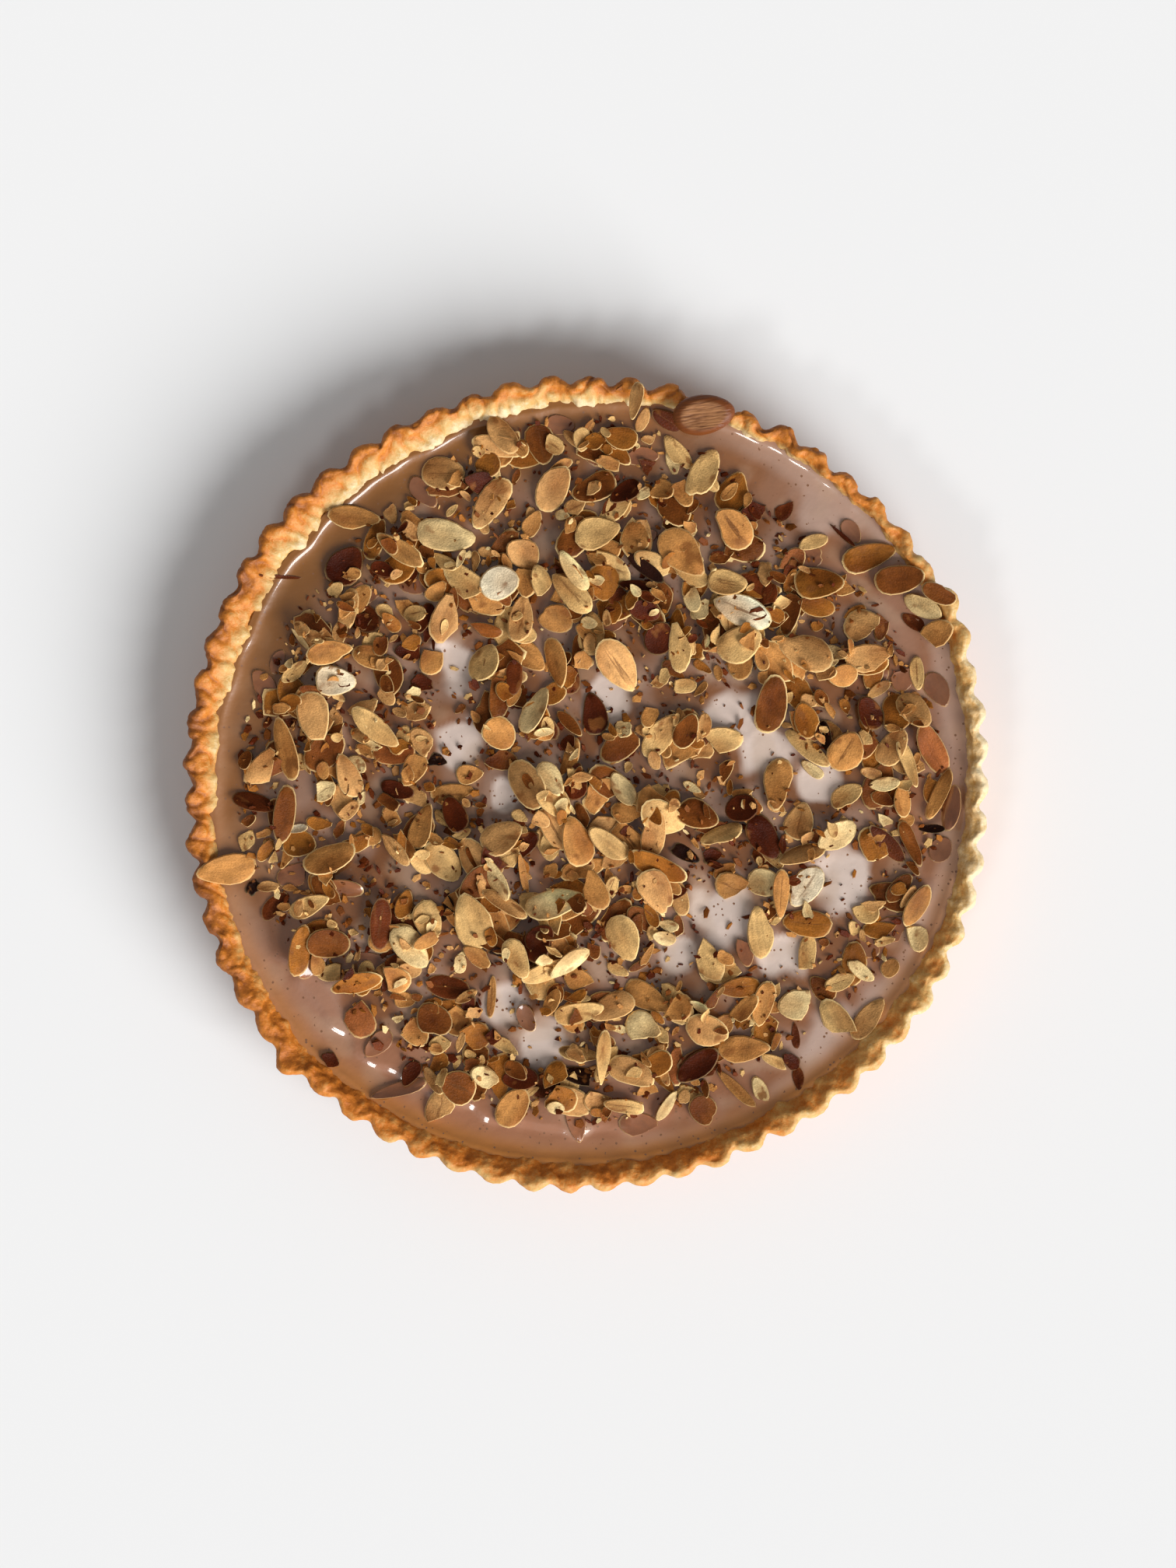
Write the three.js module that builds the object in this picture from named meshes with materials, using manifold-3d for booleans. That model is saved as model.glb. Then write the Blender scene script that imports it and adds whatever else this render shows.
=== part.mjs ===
// A frangipane tart, 11 inches across: a fluted pastry case, its almond filling, a thin sheet of
// icing strewn with flaked almonds, and one thick slice of almond lying over the rim.
// Millimetres, +Z up, the origin in the middle of the underside. Turns are in degrees.
import * as THREE from 'three';
import { mergeVertices } from 'three/addons/utils/BufferGeometryUtils.js';
import Module from 'manifold-3d';

const wasm = await Module();
wasm.setup();

// The pastry case
const RIM_RADIUS = 136.3; // mean radius of the fluted edge
const BASE_RADIUS = 129;
const CASE_HEIGHT = 27;
const RIM_WIDTH = 4.6;
const FLOOR_THICKNESS = 4.5;
const OUT_OF_ROUND = 0.6;
const SLOW_WAVES = [
  { count: 2, by: OUT_OF_ROUND, turn: 74 },
  { count: 3, by: OUT_OF_ROUND, turn: -5 },
  { count: 4, by: OUT_OF_ROUND, turn: 50 },
  { count: 6, by: OUT_OF_ROUND, turn: 29 },
];

// Its wall, seen in section
const LEAN_HEIGHT = 25; // the wall leans out evenly from the base to this height
const BASE_CHAMFER = 1.2; // how far the flat underside stops short of the wall
const FOOT_HEIGHT = 1.4; // where the wall begins, above its rounded lower edge
const SHOULDER_HEIGHT = 21.5; // where the wall turns out into the rim
const RIM_DROP = 1.8; // how far the rim's outer edge lies below its crest
const CREST_INSET = 2; // how far the crest lies in from the outer edge
const LIP_DROP = 1; // how far the rim's inner edge lies below its crest

// Its flutes
const FLUTES = 64;
const FLUTE_DEPTH = 3.2;
const COLUMN_PHASES = [0, 75, 180, 285]; // where on a flute the columns of corners stand, crest at 0
const VALLEY_NARROWING = 0.08; // makes the crests broad and the valleys narrow, as the tin does
const DEPTH_UNEVEN = 0.25; // share by which a flute is deeper or shallower than its neighbours
const OUT_UNEVEN = 0.5;
const CREST_UNEVEN = 0.8;
const CREST_STRAY = { by: 2.6, turn: 50, offset: 1.2 }; // how crests stray from even spacing
const BEND_REACH = 2.6;
const BENT_OUT = [
  { turn: 22, by: 2.1 },
  { turn: 27, by: 3.1 },
  { turn: 60, by: 1.3 },
  { turn: 223, by: 3.8 },
];

// The filling
const FILLING_TOP = 19;
const FILLING_COLUMNS = 64;
const FOOT_RADIUS = 126; // mean radius of the wall's inside, where the filling's top meets it
const FOOT_WAVES = [
  { count: 1, by: 2.2, turn: 30 },
  { count: 2, by: 2.1, turn: 47 },
];
const WALL_LEAN = 3; // how far the inside draws in from there down to the floor
const FILLING_GAP = 0.35;

// The icing
const ICING_TOP = 20.8;
const ICING_GAP = 0.65;
const ICING_EDGE = { out: 0.6, below: 0.4 }; // the rounded edge, past and below the level sheet
const ICING_COLUMNS = 60;
const ICING_RINGS = [0.965, 0.84, 0.68, 0.5, 0.3, 0]; // shares of the radius, from the edge inwards
const MOUND = 2.2; // how far the icing swells under the thickest of the almonds
const MOUND_EDGE = [0.72, 1.02]; // it runs out between these shares of the almonds' zone
const MOUND_WAVES = { along: 9, across: 11, slanting: 17 };
const ZONE_RADIUS = 112; // the almonds lie inside this, drawn out by ZONE_OVAL left and right
const ZONE_OVAL = 6;

// Bare icing between the almonds: [x, y, radius]
const BARE = [
  [-43, 41, 8], [-43, 14, 8], [7, 29, 8], [50, 22, 9], [61, 11, 9], [79, 1, 7],
  [46, -44, 11], [66, -58, 7], [87, -32, 10], [-27, -4, 5], [-27, -75, 7], [-14, -87, 8],
  [86, -88, 14], [31, -57, 6], [86, 92, 20], [-93, -78, 14],
];
const BARE_EDGE = [0.6, 1.5]; // a patch fades between these shares of its radius

// The flaked almonds
const FLAKE_THICKNESS = 1.15;
const FLAKE_SIDES = 7;
const FLAKE_TAPER = 0.22; // how much narrower the pointed end is
const FLAKE_SINK = 0.3; // how deep a flake is set into what it rests on
const STEEPEST = 0.62; // rise over run of the most tilted flake
const COVERED_ENOUGH = 0.9; // flakes keep out of bare icing
const CASE_CLEAR = 0.35; // free space between the almonds and the pastry
const LAYERS = [
  { tries: 104, seed: 7, start: 0, stray: 3, length: [10, 16], width: [6.5, 9.5] },
  { tries: 82, seed: 11, start: 70, stray: 4, length: [15, 20.5], width: [7.5, 12.5] },
];
const RIM_FLAKES = [
  { x: -121, y: -29, length: 20, width: 10.5, turn: 12 },
  { x: 114, y: 60, length: 14, width: 7, turn: -32 },
  { x: 119, y: 64, length: 12.5, width: 6.5, turn: -24 },
  { x: 119, y: 51, length: 10.5, width: 9, turn: 30 },
  { x: 17, y: 128, length: 13, width: 5, turn: 80 },
];

// The thick slice of almond on the rim
const SLICE = { x: 40, y: 125, length: 21, width: 13.6, thickness: 5, turn: 8, steepest: 0.25 };
const SLICE_SHAPE = { around: 14, over: 8, flatFrom: 0.72, taper: 0.12 };
const SLICE_CLEAR = 0.3;
const SLICE_STEP = 0.1;

// How things come to rest: a square grid of heights, and the points that feel for support
const GRID_STEP = 1.5;
const GRID_REACH = 142;
const FOOTPRINT_REACH = [0.5, 0.93];
const FOOTPRINT_TURNS = 8;
const SMALLEST_SUPPORT = 0.05; // threes of points closer to a line than this carry nothing
const LIFT = { step: 0.5, most: 2.5 }; // how far a flake is raised off pastry that is in its way

const MERGE_WITHIN = 1e-4;
const COLOURS = { pastry: 0xc8924a, filling: 0xd2a45e, icing: 0xc9b0a2, almond: 0x8c5a3a };

const radians = THREE.MathUtils.degToRad;
const mix = THREE.MathUtils.lerp;
const ease = THREE.MathUtils.smoothstep;

// A repeatable row of numbers from 0 to 1.
function draws(seed) {
  let state = seed;
  return () => {
    state = (state + 0x6d2b79f5) | 0;
    let t = Math.imul(state ^ (state >>> 15), 1 | state);
    t = (t + Math.imul(t ^ (t >>> 7), 61 | t)) ^ t;
    return ((t ^ (t >>> 14)) >>> 0) / 2 ** 32;
  };
}

// ---- The outline of the case and the surfaces inside it ----

function waveSum(waves, turn) {
  return waves.reduce((sum, wave) => sum + wave.by * Math.cos(wave.count * (turn - radians(wave.turn))), 0);
}

function footRadius(turn) {
  return FOOT_RADIUS + waveSum(FOOT_WAVES, turn);
}

// A column's place, counted in flutes.
function flutePlace(column) {
  const per = COLUMN_PHASES.length;
  return Math.floor(column / per) + COLUMN_PHASES[column % per] / 360;
}

function columnTurn(column) {
  const even = (flutePlace(column) * 360) / FLUTES;
  const stray = CREST_STRAY.by * Math.cos(radians(even - CREST_STRAY.turn));
  return radians(even + CREST_STRAY.offset - stray);
}

// Flute by flute: how deep it is, how far it stands out, and how high its crest is.
function unevenFlutes() {
  const next = draws(23);
  return Array.from({ length: FLUTES }, () => ({
    depth: FLUTE_DEPTH * (1 + mix(-DEPTH_UNEVEN, DEPTH_UNEVEN, next())),
    out: mix(-OUT_UNEVEN, OUT_UNEVEN, next()),
    lift: mix(-CREST_UNEVEN, CREST_UNEVEN, next()),
  }));
}
const flutes = unevenFlutes();

function between(column, key) {
  const place = flutePlace(column);
  const low = Math.floor(place);
  const near = flutes[low % FLUTES][key];
  return mix(near, flutes[(low + 1) % FLUTES][key], place - low);
}

function fluteOut(column) {
  const phase = 2 * Math.PI * flutePlace(column);
  const wave = Math.cos(phase) / 2 - VALLEY_NARROWING * Math.cos(2 * phase);
  return between(column, 'depth') * wave;
}

function bentOut(turn) {
  return BENT_OUT.reduce((sum, bend) => {
    const away = (turn - radians(bend.turn)) / radians(BEND_REACH);
    return sum + bend.by * Math.exp(-away * away);
  }, 0);
}

// The wall's rings, from the middle of the underside round to the middle of the floor.
// share is how much of the flutes a ring takes, and grown widens the wall by a clearance.
function caseRings(grown) {
  const wallAt = (height) => mix(BASE_RADIUS, RIM_RADIUS, height / LEAN_HEIGHT);
  const lip = RIM_RADIUS - RIM_WIDTH - grown;
  return [
    { radius: 0, height: 0, share: 0 },
    { radius: BASE_RADIUS - BASE_CHAMFER, height: 0, share: 0.55 },
    { radius: wallAt(FOOT_HEIGHT), height: FOOT_HEIGHT, share: 0.65 },
    { radius: wallAt(SHOULDER_HEIGHT), height: SHOULDER_HEIGHT, share: 1 },
    { radius: RIM_RADIUS + grown, height: CASE_HEIGHT - RIM_DROP, share: 1.1, lift: 0.8 },
    { radius: RIM_RADIUS - CREST_INSET, height: CASE_HEIGHT + grown, share: 1, lift: 1 },
    { radius: lip, height: CASE_HEIGHT - LIP_DROP + grown, share: 0.8, lift: 0.8 },
    { foot: -grown, height: FILLING_TOP + grown },
    { foot: -WALL_LEAN - grown, height: FLOOR_THICKNESS },
    { radius: 0, height: FLOOR_THICKNESS, share: 0 },
  ];
}

function casePoint(ring, column) {
  const turn = columnTurn(column);
  if (ring.foot !== undefined) {
    return { turn, radius: footRadius(turn) + ring.foot, height: ring.height };
  }
  const out = waveSum(SLOW_WAVES, turn) + between(column, 'out') + fluteOut(column) + bentOut(turn);
  const radius = ring.radius && ring.radius + ring.share * out;
  return { turn, radius, height: ring.height + (ring.lift ?? 0) * between(column, 'lift') };
}

// A turned body whose points are then moved: place(ring, column) gives turn, radius and height.
function turnedBody(rings, columns, place) {
  const profile = rings.map((ring, k) => new THREE.Vector2(1, k));
  const geometry = new THREE.LatheGeometry(profile, columns);
  const position = geometry.attributes.position;
  for (let column = 0; column <= columns; column += 1) {
    rings.forEach((ring, k) => {
      const { turn, radius, height } = place(ring, column % columns);
      const index = column * rings.length + k;
      position.setXYZ(index, radius * Math.cos(turn), radius * Math.sin(turn), height);
    });
  }
  return geometry;
}

function caseGeometry(grown = 0) {
  return turnedBody(caseRings(grown), FLUTES * COLUMN_PHASES.length, casePoint);
}

function fillingGeometry() {
  const rings = [
    { inset: null, height: FLOOR_THICKNESS },
    { inset: WALL_LEAN + FILLING_GAP, height: FLOOR_THICKNESS },
    { inset: FILLING_GAP, height: FILLING_TOP },
    { inset: null, height: FILLING_TOP },
  ];
  return turnedBody(rings, FILLING_COLUMNS, ({ inset, height }, column) => {
    const turn = (2 * Math.PI * column) / FILLING_COLUMNS;
    return { turn, radius: inset === null ? 0 : footRadius(turn) - inset, height };
  });
}

// 0 in a bare patch, 1 well away from it.
function coveredAt(x, y) {
  return BARE.reduce((least, [bareX, bareY, radius]) => {
    const away = Math.hypot(x - bareX, y - bareY) / radius;
    return Math.min(least, ease(away, ...BARE_EDGE));
  }, 1);
}

function zoneRadius(turn) {
  return ZONE_RADIUS + ZONE_OVAL * Math.cos(2 * turn);
}

// The icing lies level at the pastry and swells, a little wavily, under the almonds.
function icingHeight(x, y) {
  const { along, across, slanting } = MOUND_WAVES;
  const wave = 0.3 * Math.cos(x / along + 1) * Math.cos(y / across) + 0.2 * Math.cos((x + y) / slanting);
  const inside = 1 - ease(Math.hypot(x, y) / zoneRadius(Math.atan2(y, x)), ...MOUND_EDGE);
  return ICING_TOP + MOUND * inside * (0.5 + wave) * coveredAt(x, y);
}

function icingCore() {
  const rings = [
    { part: 0, height: FILLING_TOP },
    { part: 1, height: FILLING_TOP },
    { part: 1, out: ICING_EDGE.out, height: ICING_TOP - ICING_EDGE.below },
    ...ICING_RINGS.map((part) => ({ part })),
  ];
  return turnedBody(rings, ICING_COLUMNS, ({ part, out = 0, height }, column) => {
    const turn = (2 * Math.PI * column) / ICING_COLUMNS;
    const radius = part * (footRadius(turn) - ICING_GAP) + out;
    return { turn, radius, height: height ?? icingHeight(radius * Math.cos(turn), radius * Math.sin(turn)) };
  });
}

// ---- Solids that can be joined ----

function solid(geometry) {
  const bare = geometry.clone();
  bare.deleteAttribute('normal');
  bare.deleteAttribute('uv');
  const merged = mergeVertices(bare, MERGE_WITHIN);
  const corners = [];
  for (let k = 0; k < merged.index.count; k += 3) {
    const [a, b, c] = merged.index.array.slice(k, k + 3);
    if (a !== b && b !== c && c !== a) corners.push(a, b, c);
  }
  return new wasm.Manifold(new wasm.Mesh({
    numProp: 3,
    vertProperties: new Float32Array(merged.attributes.position.array),
    triVerts: new Uint32Array(corners),
  }));
}

function geometryOf(body) {
  const mesh = body.getMesh();
  const geometry = new THREE.BufferGeometry();
  geometry.setAttribute('position', new THREE.BufferAttribute(mesh.vertProperties, 3));
  geometry.setIndex(new THREE.BufferAttribute(mesh.triVerts, 1));
  geometry.computeVertexNormals();
  return geometry;
}

// ---- How a flat thing comes to rest on the heap ----

const ACROSS = Math.round((2 * GRID_REACH) / GRID_STEP) + 1;
const heights = new Float64Array(ACROSS * ACROSS);

function gridIndex(x, y) {
  const column = Math.round((x + GRID_REACH) / GRID_STEP);
  const row = Math.round((y + GRID_REACH) / GRID_STEP);
  return row * ACROSS + column;
}

// The height that clears the pastry, from the icing's edge up to the crest and down outside.
function crustHeight(radius, turn) {
  const foot = footRadius(turn) - CASE_CLEAR;
  const lip = RIM_RADIUS - RIM_WIDTH + waveSum(SLOW_WAVES, turn);
  const crest = CASE_HEIGHT + CREST_UNEVEN;
  const raised = CASE_CLEAR + FLAKE_SINK;
  if (radius > RIM_RADIUS + CREST_INSET) return 0;
  if (radius > lip) return crest + raised;
  return mix(FILLING_TOP, crest, Math.max(0, (radius - foot) / (lip - foot))) + raised;
}

for (let x = -GRID_REACH; x <= GRID_REACH; x += GRID_STEP) {
  for (let y = -GRID_REACH; y <= GRID_REACH; y += GRID_STEP) {
    const turn = Math.atan2(y, x);
    const radius = Math.hypot(x, y);
    const iced = radius < footRadius(turn) - CASE_CLEAR;
    heights[gridIndex(x, y)] = iced ? icingHeight(x, y) : crustHeight(radius, turn);
  }
}

// Points of a footprint, its middle first, and the threes of them that can carry it.
function footprintPoints() {
  const points = [[0, 0]];
  for (const reach of FOOTPRINT_REACH) {
    for (let k = 0; k < FOOTPRINT_TURNS; k += 1) {
      const turn = (2 * Math.PI * k) / FOOTPRINT_TURNS;
      points.push([reach * Math.cos(turn), reach * Math.sin(turn)]);
    }
  }
  return points;
}
const FOOTPRINT = footprintPoints();

function supports() {
  const found = [];
  for (let a = 1; a < FOOTPRINT.length; a += 1) {
    for (let b = a + 1; b < FOOTPRINT.length; b += 1) {
      for (let c = b + 1; c < FOOTPRINT.length; c += 1) {
        const [[ax, ay], [bx, by], [cx, cy]] = [FOOTPRINT[a], FOOTPRINT[b], FOOTPRINT[c]];
        const area = (bx - ax) * (cy - ay) - (cx - ax) * (by - ay);
        if (Math.abs(area) < SMALLEST_SUPPORT) continue;
        const parts = [bx * cy - cx * by, cx * ay - ax * cy, ax * by - bx * ay];
        const shares = parts.map((part) => part / area);
        if (Math.min(...shares) >= 0) found.push({ three: [a, b, c], shares });
      }
    }
  }
  return found;
}
const SUPPORTS = supports();

function slopeThrough([a, b, c]) {
  const area = (b.x - a.x) * (c.y - a.y) - (c.x - a.x) * (b.y - a.y);
  const x = ((b.height - a.height) * (c.y - a.y) - (c.height - a.height) * (b.y - a.y)) / area;
  const y = ((b.x - a.x) * (c.height - a.height) - (c.x - a.x) * (b.height - a.height)) / area;
  return { x, y };
}

// The lowest plane that clears the heap: it touches it at three points round its middle.
function restingPlane(thing) {
  const cosTurn = Math.cos(radians(thing.turn));
  const sinTurn = Math.sin(radians(thing.turn));
  const points = FOOTPRINT.map(([u, v]) => {
    const along = (u * thing.length) / 2;
    const across = (v * thing.width) / 2;
    const x = along * cosTurn - across * sinTurn;
    const y = along * sinTurn + across * cosTurn;
    return { x, y, height: heights[gridIndex(thing.x + x, thing.y + y)] };
  });
  let highest = points[0].height;
  let slope = { x: 0, y: 0 };
  for (const { three, shares } of SUPPORTS) {
    const level = three.reduce((sum, index, k) => sum + shares[k] * points[index].height, 0);
    if (level > highest) {
      highest = level;
      slope = slopeThrough(three.map((index) => points[index]));
    }
  }
  const steepness = Math.hypot(slope.x, slope.y);
  const kept = Math.min(1, (thing.steepest ?? STEEPEST) / Math.max(MERGE_WITHIN, steepness));
  const slopeX = slope.x * kept;
  const slopeY = slope.y * kept;
  const level = Math.max(...points.map((p) => p.height - slopeX * p.x - slopeY * p.y));
  return { level, slopeX, slopeY };
}

// Turned flat, then tilted onto the plane and set at its place.
function placement(thing, plane, raised) {
  const up = new THREE.Vector3(0, 0, 1);
  const normal = new THREE.Vector3(-plane.slopeX, -plane.slopeY, 1).normalize();
  const tilt = new THREE.Quaternion().setFromUnitVectors(up, normal);
  const flat = new THREE.Quaternion().setFromAxisAngle(up, radians(thing.turn));
  return {
    position: new THREE.Vector3(thing.x, thing.y, plane.level + raised),
    quaternion: tilt.multiply(flat),
  };
}

function placedSolid(geometry, { position, quaternion }) {
  const matrix = new THREE.Matrix4().compose(position, quaternion, new THREE.Vector3(1, 1, 1));
  return solid(geometry.clone().applyMatrix4(matrix));
}

// Raises the grid under a thing that now lies there, its upper face this far above the plane.
function layDown(thing, plane, top) {
  const reach = thing.length / 2;
  const cosTurn = Math.cos(radians(thing.turn));
  const sinTurn = Math.sin(radians(thing.turn));
  for (let x = -reach; x <= reach; x += GRID_STEP) {
    for (let y = -reach; y <= reach; y += GRID_STEP) {
      const along = x * cosTurn + y * sinTurn;
      const across = y * cosTurn - x * sinTurn;
      if (Math.hypot(along / thing.length, across / thing.width) > 0.5) continue;
      const index = gridIndex(thing.x + x, thing.y + y);
      const height = plane.level + plane.slopeX * x + plane.slopeY * y + top;
      heights[index] = Math.max(heights[index], height);
    }
  }
}

// ---- The almonds ----

function flakeGeometry(length, width) {
  const outline = new THREE.Shape();
  for (let k = 0; k < FLAKE_SIDES; k += 1) {
    const turn = (2 * Math.PI * k) / FLAKE_SIDES;
    const x = (length / 2) * Math.cos(turn);
    const y = (width / 2) * Math.sin(turn) * (1 - FLAKE_TAPER * Math.cos(turn));
    if (k === 0) outline.moveTo(x, y);
    else outline.lineTo(x, y);
  }
  return new THREE.ExtrudeGeometry(outline, { depth: FLAKE_THICKNESS, bevelEnabled: false });
}

// A layer of flakes spread evenly in a sunflower's spiral, each a little astray, off the bare icing.
function layerFlakes({ tries, seed, start, stray, length, width }) {
  const next = draws(seed);
  const golden = Math.PI * (3 - Math.sqrt(5));
  const found = [];
  for (let k = 0; k < tries; k += 1) {
    const spiral = radians(start) + k * golden;
    const radius = zoneRadius(spiral) * Math.sqrt((k + 0.5) / tries);
    const flake = {
      x: radius * Math.cos(spiral) + mix(-stray, stray, next()),
      y: radius * Math.sin(spiral) + mix(-stray, stray, next()),
      length: mix(...length, next()),
      width: mix(...width, next()),
      turn: 360 * next(),
    };
    if (coveredAt(flake.x, flake.y) > COVERED_ENOUGH) found.push(flake);
  }
  return found;
}

// Joins a flake to the heap where it comes to rest, higher up if the pastry is in its way.
function addFlake(heap, flake, pastry) {
  const plane = restingPlane(flake);
  const geometry = flakeGeometry(flake.length, flake.width);
  for (let lift = 0; lift <= LIFT.most; lift += LIFT.step) {
    const body = placedSolid(geometry, placement(flake, plane, lift - FLAKE_SINK));
    if (!body.intersect(pastry).isEmpty()) continue;
    const joined = heap.add(body);
    if (joined.decompose().length > 1) return heap;
    layDown(flake, plane, lift + FLAKE_THICKNESS);
    return joined;
  }
  return heap;
}

function icingWithAlmonds() {
  const pastry = solid(caseGeometry(CASE_CLEAR));
  const flakes = [...LAYERS.flatMap(layerFlakes), ...RIM_FLAKES];
  return flakes.reduce((heap, flake) => addFlake(heap, flake, pastry), solid(icingCore()));
}

// A cut slice of a whole almond: round skin all about, flat where the knife went.
function sliceGeometry(grown) {
  const { around, over, flatFrom, taper } = SLICE_SHAPE;
  const geometry = new THREE.SphereGeometry(1, around, over);
  geometry.rotateX(Math.PI / 2);
  const position = geometry.attributes.position;
  for (let k = 0; k < position.count; k += 1) {
    const x = position.getX(k);
    const flat = THREE.MathUtils.clamp(position.getZ(k), -flatFrom, flatFrom) / flatFrom;
    position.setXYZ(
      k,
      x * (SLICE.length / 2 + grown),
      position.getY(k) * (1 - taper * x) * (SLICE.width / 2 + grown),
      (flat + 1) * (SLICE.thickness / 2 + grown) - grown,
    );
  }
  return geometry;
}

// The slice rests on the rim and the heap, clear of both by SLICE_CLEAR.
function placeSlice(mesh, heap) {
  const plane = restingPlane(SLICE);
  const around = solid(caseGeometry()).add(heap);
  const grown = sliceGeometry(SLICE_CLEAR);
  let raised = -2 * FLAKE_SINK;
  let place = placement(SLICE, plane, raised);
  while (!placedSolid(grown, place).intersect(around).isEmpty()) {
    raised += SLICE_STEP;
    place = placement(SLICE, plane, raised);
  }
  mesh.position.copy(place.position);
  mesh.quaternion.copy(place.quaternion);
}

function named(name, geometry, color, roughness) {
  const material = new THREE.MeshStandardMaterial({ color, roughness, metalness: 0 });
  const mesh = new THREE.Mesh(geometry, material);
  mesh.name = name;
  return mesh;
}

const heap = icingWithAlmonds();
const slice = named('rim_almond', sliceGeometry(0), COLOURS.almond, 0.6);
placeSlice(slice, heap);

const group = new THREE.Group();
group.add(
  named('pastry_case', caseGeometry(), COLOURS.pastry, 0.7),
  named('frangipane', fillingGeometry(), COLOURS.filling, 0.8),
  named('icing_with_almonds', geometryOf(heap), COLOURS.icing, 0.3),
  slice,
);

export default group;
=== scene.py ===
"""A frangipane tart, 11 inches across, seen from straight above on a pale table.

Lengths are in millimetres until a mesh is finished. Turns are in degrees, anticlockwise from the
right as seen from above, and +Y is the far side of the tart.
"""
import math
import random
from itertools import combinations

import bmesh
import bpy
import numpy as np
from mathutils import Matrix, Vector, noise


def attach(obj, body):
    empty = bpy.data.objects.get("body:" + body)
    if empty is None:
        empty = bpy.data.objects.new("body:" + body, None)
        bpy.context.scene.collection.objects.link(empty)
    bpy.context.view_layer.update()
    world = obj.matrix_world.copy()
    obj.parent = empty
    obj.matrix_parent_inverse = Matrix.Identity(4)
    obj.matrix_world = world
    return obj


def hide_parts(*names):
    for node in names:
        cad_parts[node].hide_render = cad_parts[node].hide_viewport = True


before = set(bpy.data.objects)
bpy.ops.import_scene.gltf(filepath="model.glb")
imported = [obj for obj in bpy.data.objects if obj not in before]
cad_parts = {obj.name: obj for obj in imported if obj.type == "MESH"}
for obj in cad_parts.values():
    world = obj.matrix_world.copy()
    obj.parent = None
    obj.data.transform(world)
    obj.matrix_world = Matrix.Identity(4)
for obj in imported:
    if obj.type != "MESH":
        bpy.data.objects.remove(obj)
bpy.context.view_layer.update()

MM = 0.001

# -----------------------------------------------------------
# The pastry case
# Shortcrust rolled out, pressed into a fluted tin and baked: butter-gold on its inner slope and
# brown along the thin outer edge, with painted light and shade added round the tart and in its
# creases and hollows. The tin left the outside smooth, and fingers left the rim and the inner slope
# lumpy and creased.
# -----------------------------------------------------------
RIM_RADIUS = 136.3
RIM_WIDTH = 4.6
CASE_HEIGHT = 27
BASE_RADIUS = 129
LEAN_HEIGHT = 25
FLUTES = 64
CUTS_PER_FLUTE = 19
FLUTE_DEPTH = 3.2
VALLEY_NARROWING = 0.08
DEPTH_UNEVEN = 0.25
OUT_UNEVEN = 0.5
CREST_UNEVEN = 0.8
CREST_STRAY = {"by": 2.6, "turn": 50, "offset": 1.2}
OUT_OF_ROUND = 0.6
ROUND_WAVES = [(count, OUT_OF_ROUND, at) for count, at in ((2, 74), (3, -5), (4, 50), (6, 29))]
BEND_REACH = 2.6
BENT_OUT = [(22, 2.1), (27, 3.1), (60, 1.3), (223, 3.8)]

FILLING_TOP = 19
SLOPE_HEIGHT = CASE_HEIGHT - 1 - FILLING_TOP
FLOOR_THICKNESS = 4.5
FOOT_RADIUS = 126
FOOT_WAVES = [(1, 2.2, 30), (2, 2.1, 47)]
WALL_LEAN = 3


def smoothstep(value, low, high):
    share = np.clip((value - low) / (high - low), 0, 1)
    return share * share * (3 - 2 * share)


def wave_sum(waves, turn):
    return sum(by * np.cos(count * (turn - math.radians(at))) for count, by, at in waves)


def values_round(rows, turn):
    """Rows of a turn in degrees and some values, read off at any turn."""
    turns, *columns = np.array(rows).T
    degrees = np.remainder(np.degrees(turn), 360)
    return [np.interp(degrees, turns, column) for column in columns]


def turned_away(turn, at):
    """How far round one turn is from another, either way."""
    return np.remainder(turn - at + np.pi, 2 * np.pi) - np.pi


def draws(seed):
    """A repeatable row of numbers from 0 to 1."""
    state = seed
    while True:
        state = (state + 0x6D2B79F5) & 0xFFFFFFFF
        t = ((state ^ (state >> 15)) * (1 | state)) & 0xFFFFFFFF
        t = ((t + (((t ^ (t >> 7)) * (61 | t)) & 0xFFFFFFFF)) & 0xFFFFFFFF) ^ t
        yield (t ^ (t >> 14)) / 2**32


drawn = draws(23)
flute_draws = np.array([[next(drawn) * 2 - 1 for _ in range(3)] for _ in range(FLUTES)])
flute_depth = FLUTE_DEPTH * (1 + DEPTH_UNEVEN * flute_draws[:, 0])
flute_out = OUT_UNEVEN * flute_draws[:, 1]
flute_lift = CREST_UNEVEN * flute_draws[:, 2]


def between_flutes(each_flute, place):
    """A value that each flute has, at any place around. place counts in flutes."""
    low = np.floor(place).astype(int)
    near, far = each_flute[low % FLUTES], each_flute[(low + 1) % FLUTES]
    return near + (far - near) * (place - low)


def flute_turn(place):
    """Where a place lies around the tart. The crests stray a little from even spacing."""
    even = place * 360 / FLUTES
    stray = CREST_STRAY["by"] * np.cos(np.radians(even - CREST_STRAY["turn"]))
    return np.radians(even + CREST_STRAY["offset"] - stray)


def rim_outline(place, fluted=1):
    """How far the edge stands out from its mean radius. fluted is the share of the flutes kept."""
    turn = flute_turn(place)
    phase = 2 * np.pi * place
    wave = np.cos(phase) / 2 - VALLEY_NARROWING * np.cos(2 * phase)
    outline = wave_sum(ROUND_WAVES, turn) + between_flutes(flute_out, place)
    for at, by in BENT_OUT:
        away = turned_away(turn, math.radians(at))
        outline = outline + by * np.exp(-(away / math.radians(BEND_REACH)) ** 2)
    return outline + fluted * between_flutes(flute_depth, place) * wave


def wall_at(height):
    return BASE_RADIUS + (RIM_RADIUS - BASE_RADIUS) * height / LEAN_HEIGHT
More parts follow.
